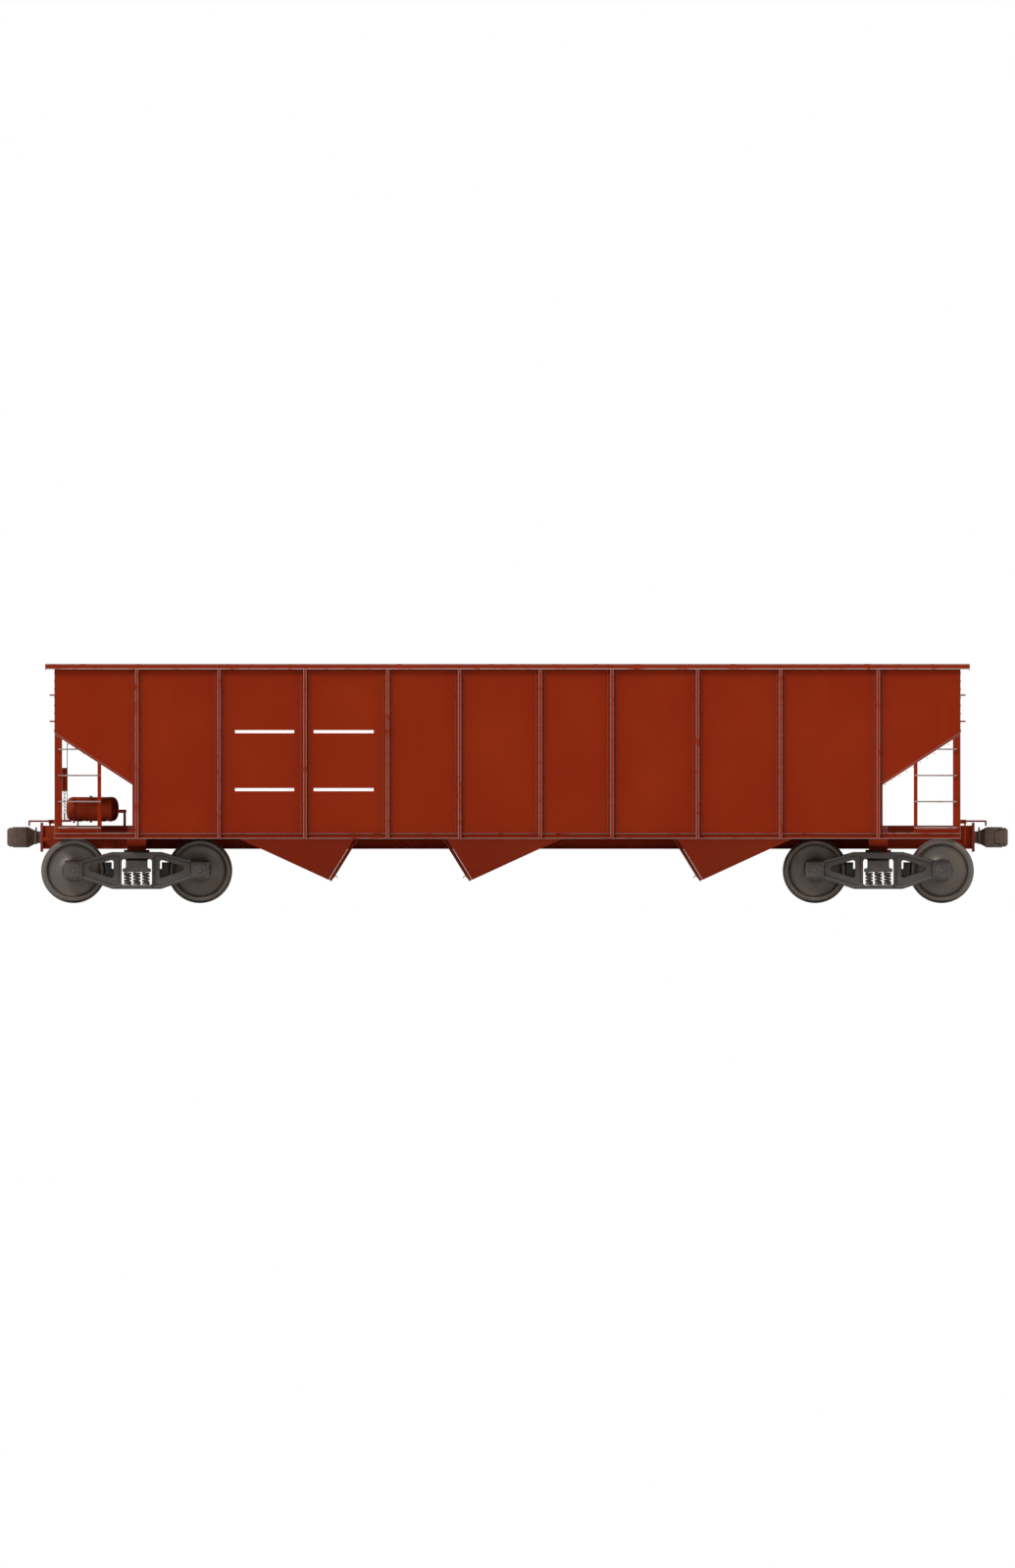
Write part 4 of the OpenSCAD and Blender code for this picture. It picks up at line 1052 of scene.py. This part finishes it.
low, high = corners("brake_cylinder")
middle = 0.5 * (low + high)
head_r = 0.5 * (high[2] - low[2])
bore_r = head_r - 0.030
BAND = 0.006
ROD_R = 0.0235
outline = np.array([
    (0.0, 0.02), (0.0, 0.070), (0.006, 0.090), (0.006, head_r - 0.004), (0.012, head_r),
    (0.020, head_r), (0.022, bore_r + 0.004), (0.060, bore_r),
    (0.180, bore_r), (0.184, bore_r + BAND), (0.200, bore_r + BAND), (0.204, bore_r),
    (0.360, bore_r), (0.364, bore_r + BAND), (0.380, bore_r + BAND), (0.384, bore_r),
    (0.490, bore_r), (0.500, bore_r + 0.010), (0.520, bore_r + 0.010), (0.524, bore_r - 0.012),
    (0.560, 0.086), (0.582, 0.060), (0.584, 0.032), (0.586, ROD_R),
    (high[0] - low[0] - 0.004, ROD_R), (high[0] - low[0], 0.018)])
cylinder = spun(outline, (low[0], middle[1], middle[2]), (1, 0, 0), 64)
bolts = bolt_circle(low[0] + 0.006, middle, head_r - 0.014, 8, -1, 0.011)
vessel = add_piece("brake_cylinder_body", *joined(cylinder, bolts), under_paint_lightened_for_shade, "brake_cylinder")
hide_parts("brake_cylinder")
CYLINDER, CYLINDER_R = middle, bore_r

# %% [markdown]
# Pipes carry the air between the valve, the reservoir and the cylinder. They are bent cold, so
# each is a tube along a path whose corners are eased. A chain and rod hang from the hand wheel's
# gear case, and a bar on the cylinder's rod passes its pull on.

# %% Pipes, chain and lever
def pipe(path, radius, bend, across):
    """A tube along a path of straight runs whose corners are eased by the bend radius."""
    return skin(tube(eased(np.array(path, float), bend, 6, closed=False), radius, across, 12))


VALVE_IN = 0.160
PORT_Y = 0.205
PORT_X = 0.05
PIPE_R = 0.013
BEND = 0.04
valve_low, valve_high = corners("control_valve")
valve_x = valve_low[0] + VALVE_IN
valve_z = valve_high[2] - 0.060
tank_y = RESERVOIR[1] - 0.10
port_z = valve_z - 0.03
over_z = valve_z + 0.10
cylinder_y = CYLINDER[1] + CYLINDER_R - 0.01
rise_x = valve_x - 0.02
drop_x = valve_x - 0.16
to_tank = [(valve_x + PORT_X, PORT_Y, port_z), (valve_x + PORT_X, tank_y - 0.10, port_z),
           (valve_x + PORT_X, tank_y, valve_z + 0.01)]
to_cylinder = [(valve_x - PORT_X, -PORT_Y, port_z), (valve_x - PORT_X, cylinder_y, port_z)]
to_train_pipe = [(rise_x, 0.0, valve_z + 0.02), (rise_x, 0.0, over_z), (drop_x, 0.0, over_z),
                 (drop_x, 0.0, SILL_Z + 0.16)]
pipes = [pipe(to_tank, PIPE_R, BEND, (1, 0, 0)), pipe(to_cylinder, PIPE_R, BEND, (1, 0, 0)),
         pipe(to_train_pipe, 0.011, 0.05, (0, 1, 0))]
add_piece("brake_pipes", *joined(*pipes), under_paint_lightened_for_shade, "control_valve")

brake_low, brake_high = corners("hand_brake")
CASE_IN = 0.050
CHAIN_OUT = 0.008
case_x = brake_high[0] - CASE_IN
chain_x = case_x + CHAIN_OUT
case_y = 0.5 * (brake_low[1] + brake_high[1])
CASE_FOOT = 1.530
STEP_TOP = corners("brake_platform")[1][2]
LINK_H, LINK_W, WIRE = 0.026, 0.013, 0.0045


def chain_link(across):
    """A closed ring: centre (W cos a, 0, H sin a), swept by a small circle in the ring's own
    normal plane. across swaps X and Y, so that every other link lies across its neighbour."""
    a = np.linspace(0, 2 * np.pi, 20, endpoint=False)
    path = np.stack([LINK_W * np.cos(a), 0 * a, LINK_H * np.sin(a)], axis=1)
    tangent = np.stack([-LINK_W * np.sin(a), 0 * a, LINK_H * np.cos(a)], axis=1)
    tangent /= np.linalg.norm(tangent, axis=1)[:, None]
    side = np.tile((0.0, 1.0, 0.0), (len(a), 1))
    up = np.cross(side, tangent)
    b = np.linspace(0, 2 * np.pi, 6, endpoint=False)[None, :, None]
    rings = path[:, None] + WIRE * (np.cos(b) * side[:, None] + np.sin(b) * up[:, None])
    return skin(rings[..., [1, 0, 2]] if across else rings, closed=True)


link_z = np.arange(CASE_FOOT - LINK_H + 0.004, STEP_TOP + 0.10, -(2 * LINK_H - 2 * WIRE))
centres = np.stack([0 * link_z + chain_x, 0 * link_z + case_y, link_z], axis=1)
rod_top = link_z[-1] - LINK_H + WIRE
shapes = [repeat(*chain_link(False), centres[::2]), repeat(*chain_link(True), centres[1::2]),
          spun([(0, 0.006), (0.006, 0.010), (rod_top - STEP_TOP + 0.02, 0.010)],
               (chain_x, case_y, rod_top), (0, 0, -1), 12)]
add_piece("brake_chain", *joined(*shapes), truck_black, "hand_brake")
print("chain links:", len(link_z))

LEVER_HALF_T = 0.008
LEVER_HALF_W, LEVER_TIP_HALF_W = 0.028, 0.022
LEVER_TIP_Y = -0.06
LEVER_PAST = 0.10
FULCRUM_Y = -0.10
lever_x = high[0] - 0.020
lever_y, lever_z = CYLINDER[1:]
lever_start = lever_y - LEVER_PAST
lever = eased([(lever_x - LEVER_HALF_W, lever_start), (lever_x + LEVER_HALF_W, lever_start),
               (lever_x + LEVER_TIP_HALF_W, LEVER_TIP_Y), (lever_x - LEVER_TIP_HALF_W, LEVER_TIP_Y)],
              LEVER_TIP_HALF_W)
bar = skin(extruded(lever, 2, lever_z - LEVER_HALF_T, lever_z + LEVER_HALF_T))
pins = [spun([(-0.024, 0.016), (0.024, 0.016)], (lever_x, y, lever_z), (0, 0, 1), 20)
        for y in (lever_y, lever_y - 0.07, FULCRUM_Y)]
stand = spun([(0, 0.018), (lever_z - SILL_Z - 0.18, 0.018)], (lever_x, FULCRUM_Y, lever_z), (0, 0, -1), 20)
add_piece("brake_lever", *joined(bar, *pins, stand), under_paint_lightened_for_shade, "brake_cylinder")

# %% [markdown]
# The centre sill is two channels, riveted to a plate above and to the bolsters. Two rows of heads
# run along its webs.

# %% Underframe rivets
sill_low, sill_high = corners("center_sill")
WEB_Y = sill_high[1] - 0.064
runs = along(sill_low[0] + 0.15, sill_high[0] - 0.15, 0.15)
sides = []
for side in (1, -1):
    places = grid(runs, [side * WEB_Y], [sill_low[2] + 0.045, sill_high[2] - 0.045])
    sides.append(rivet_heads(places, (0, side, 0), 0.011))
add_piece("rivets_sill", *joined(*sides), under_paint_lightened_for_shade, "center_sill")
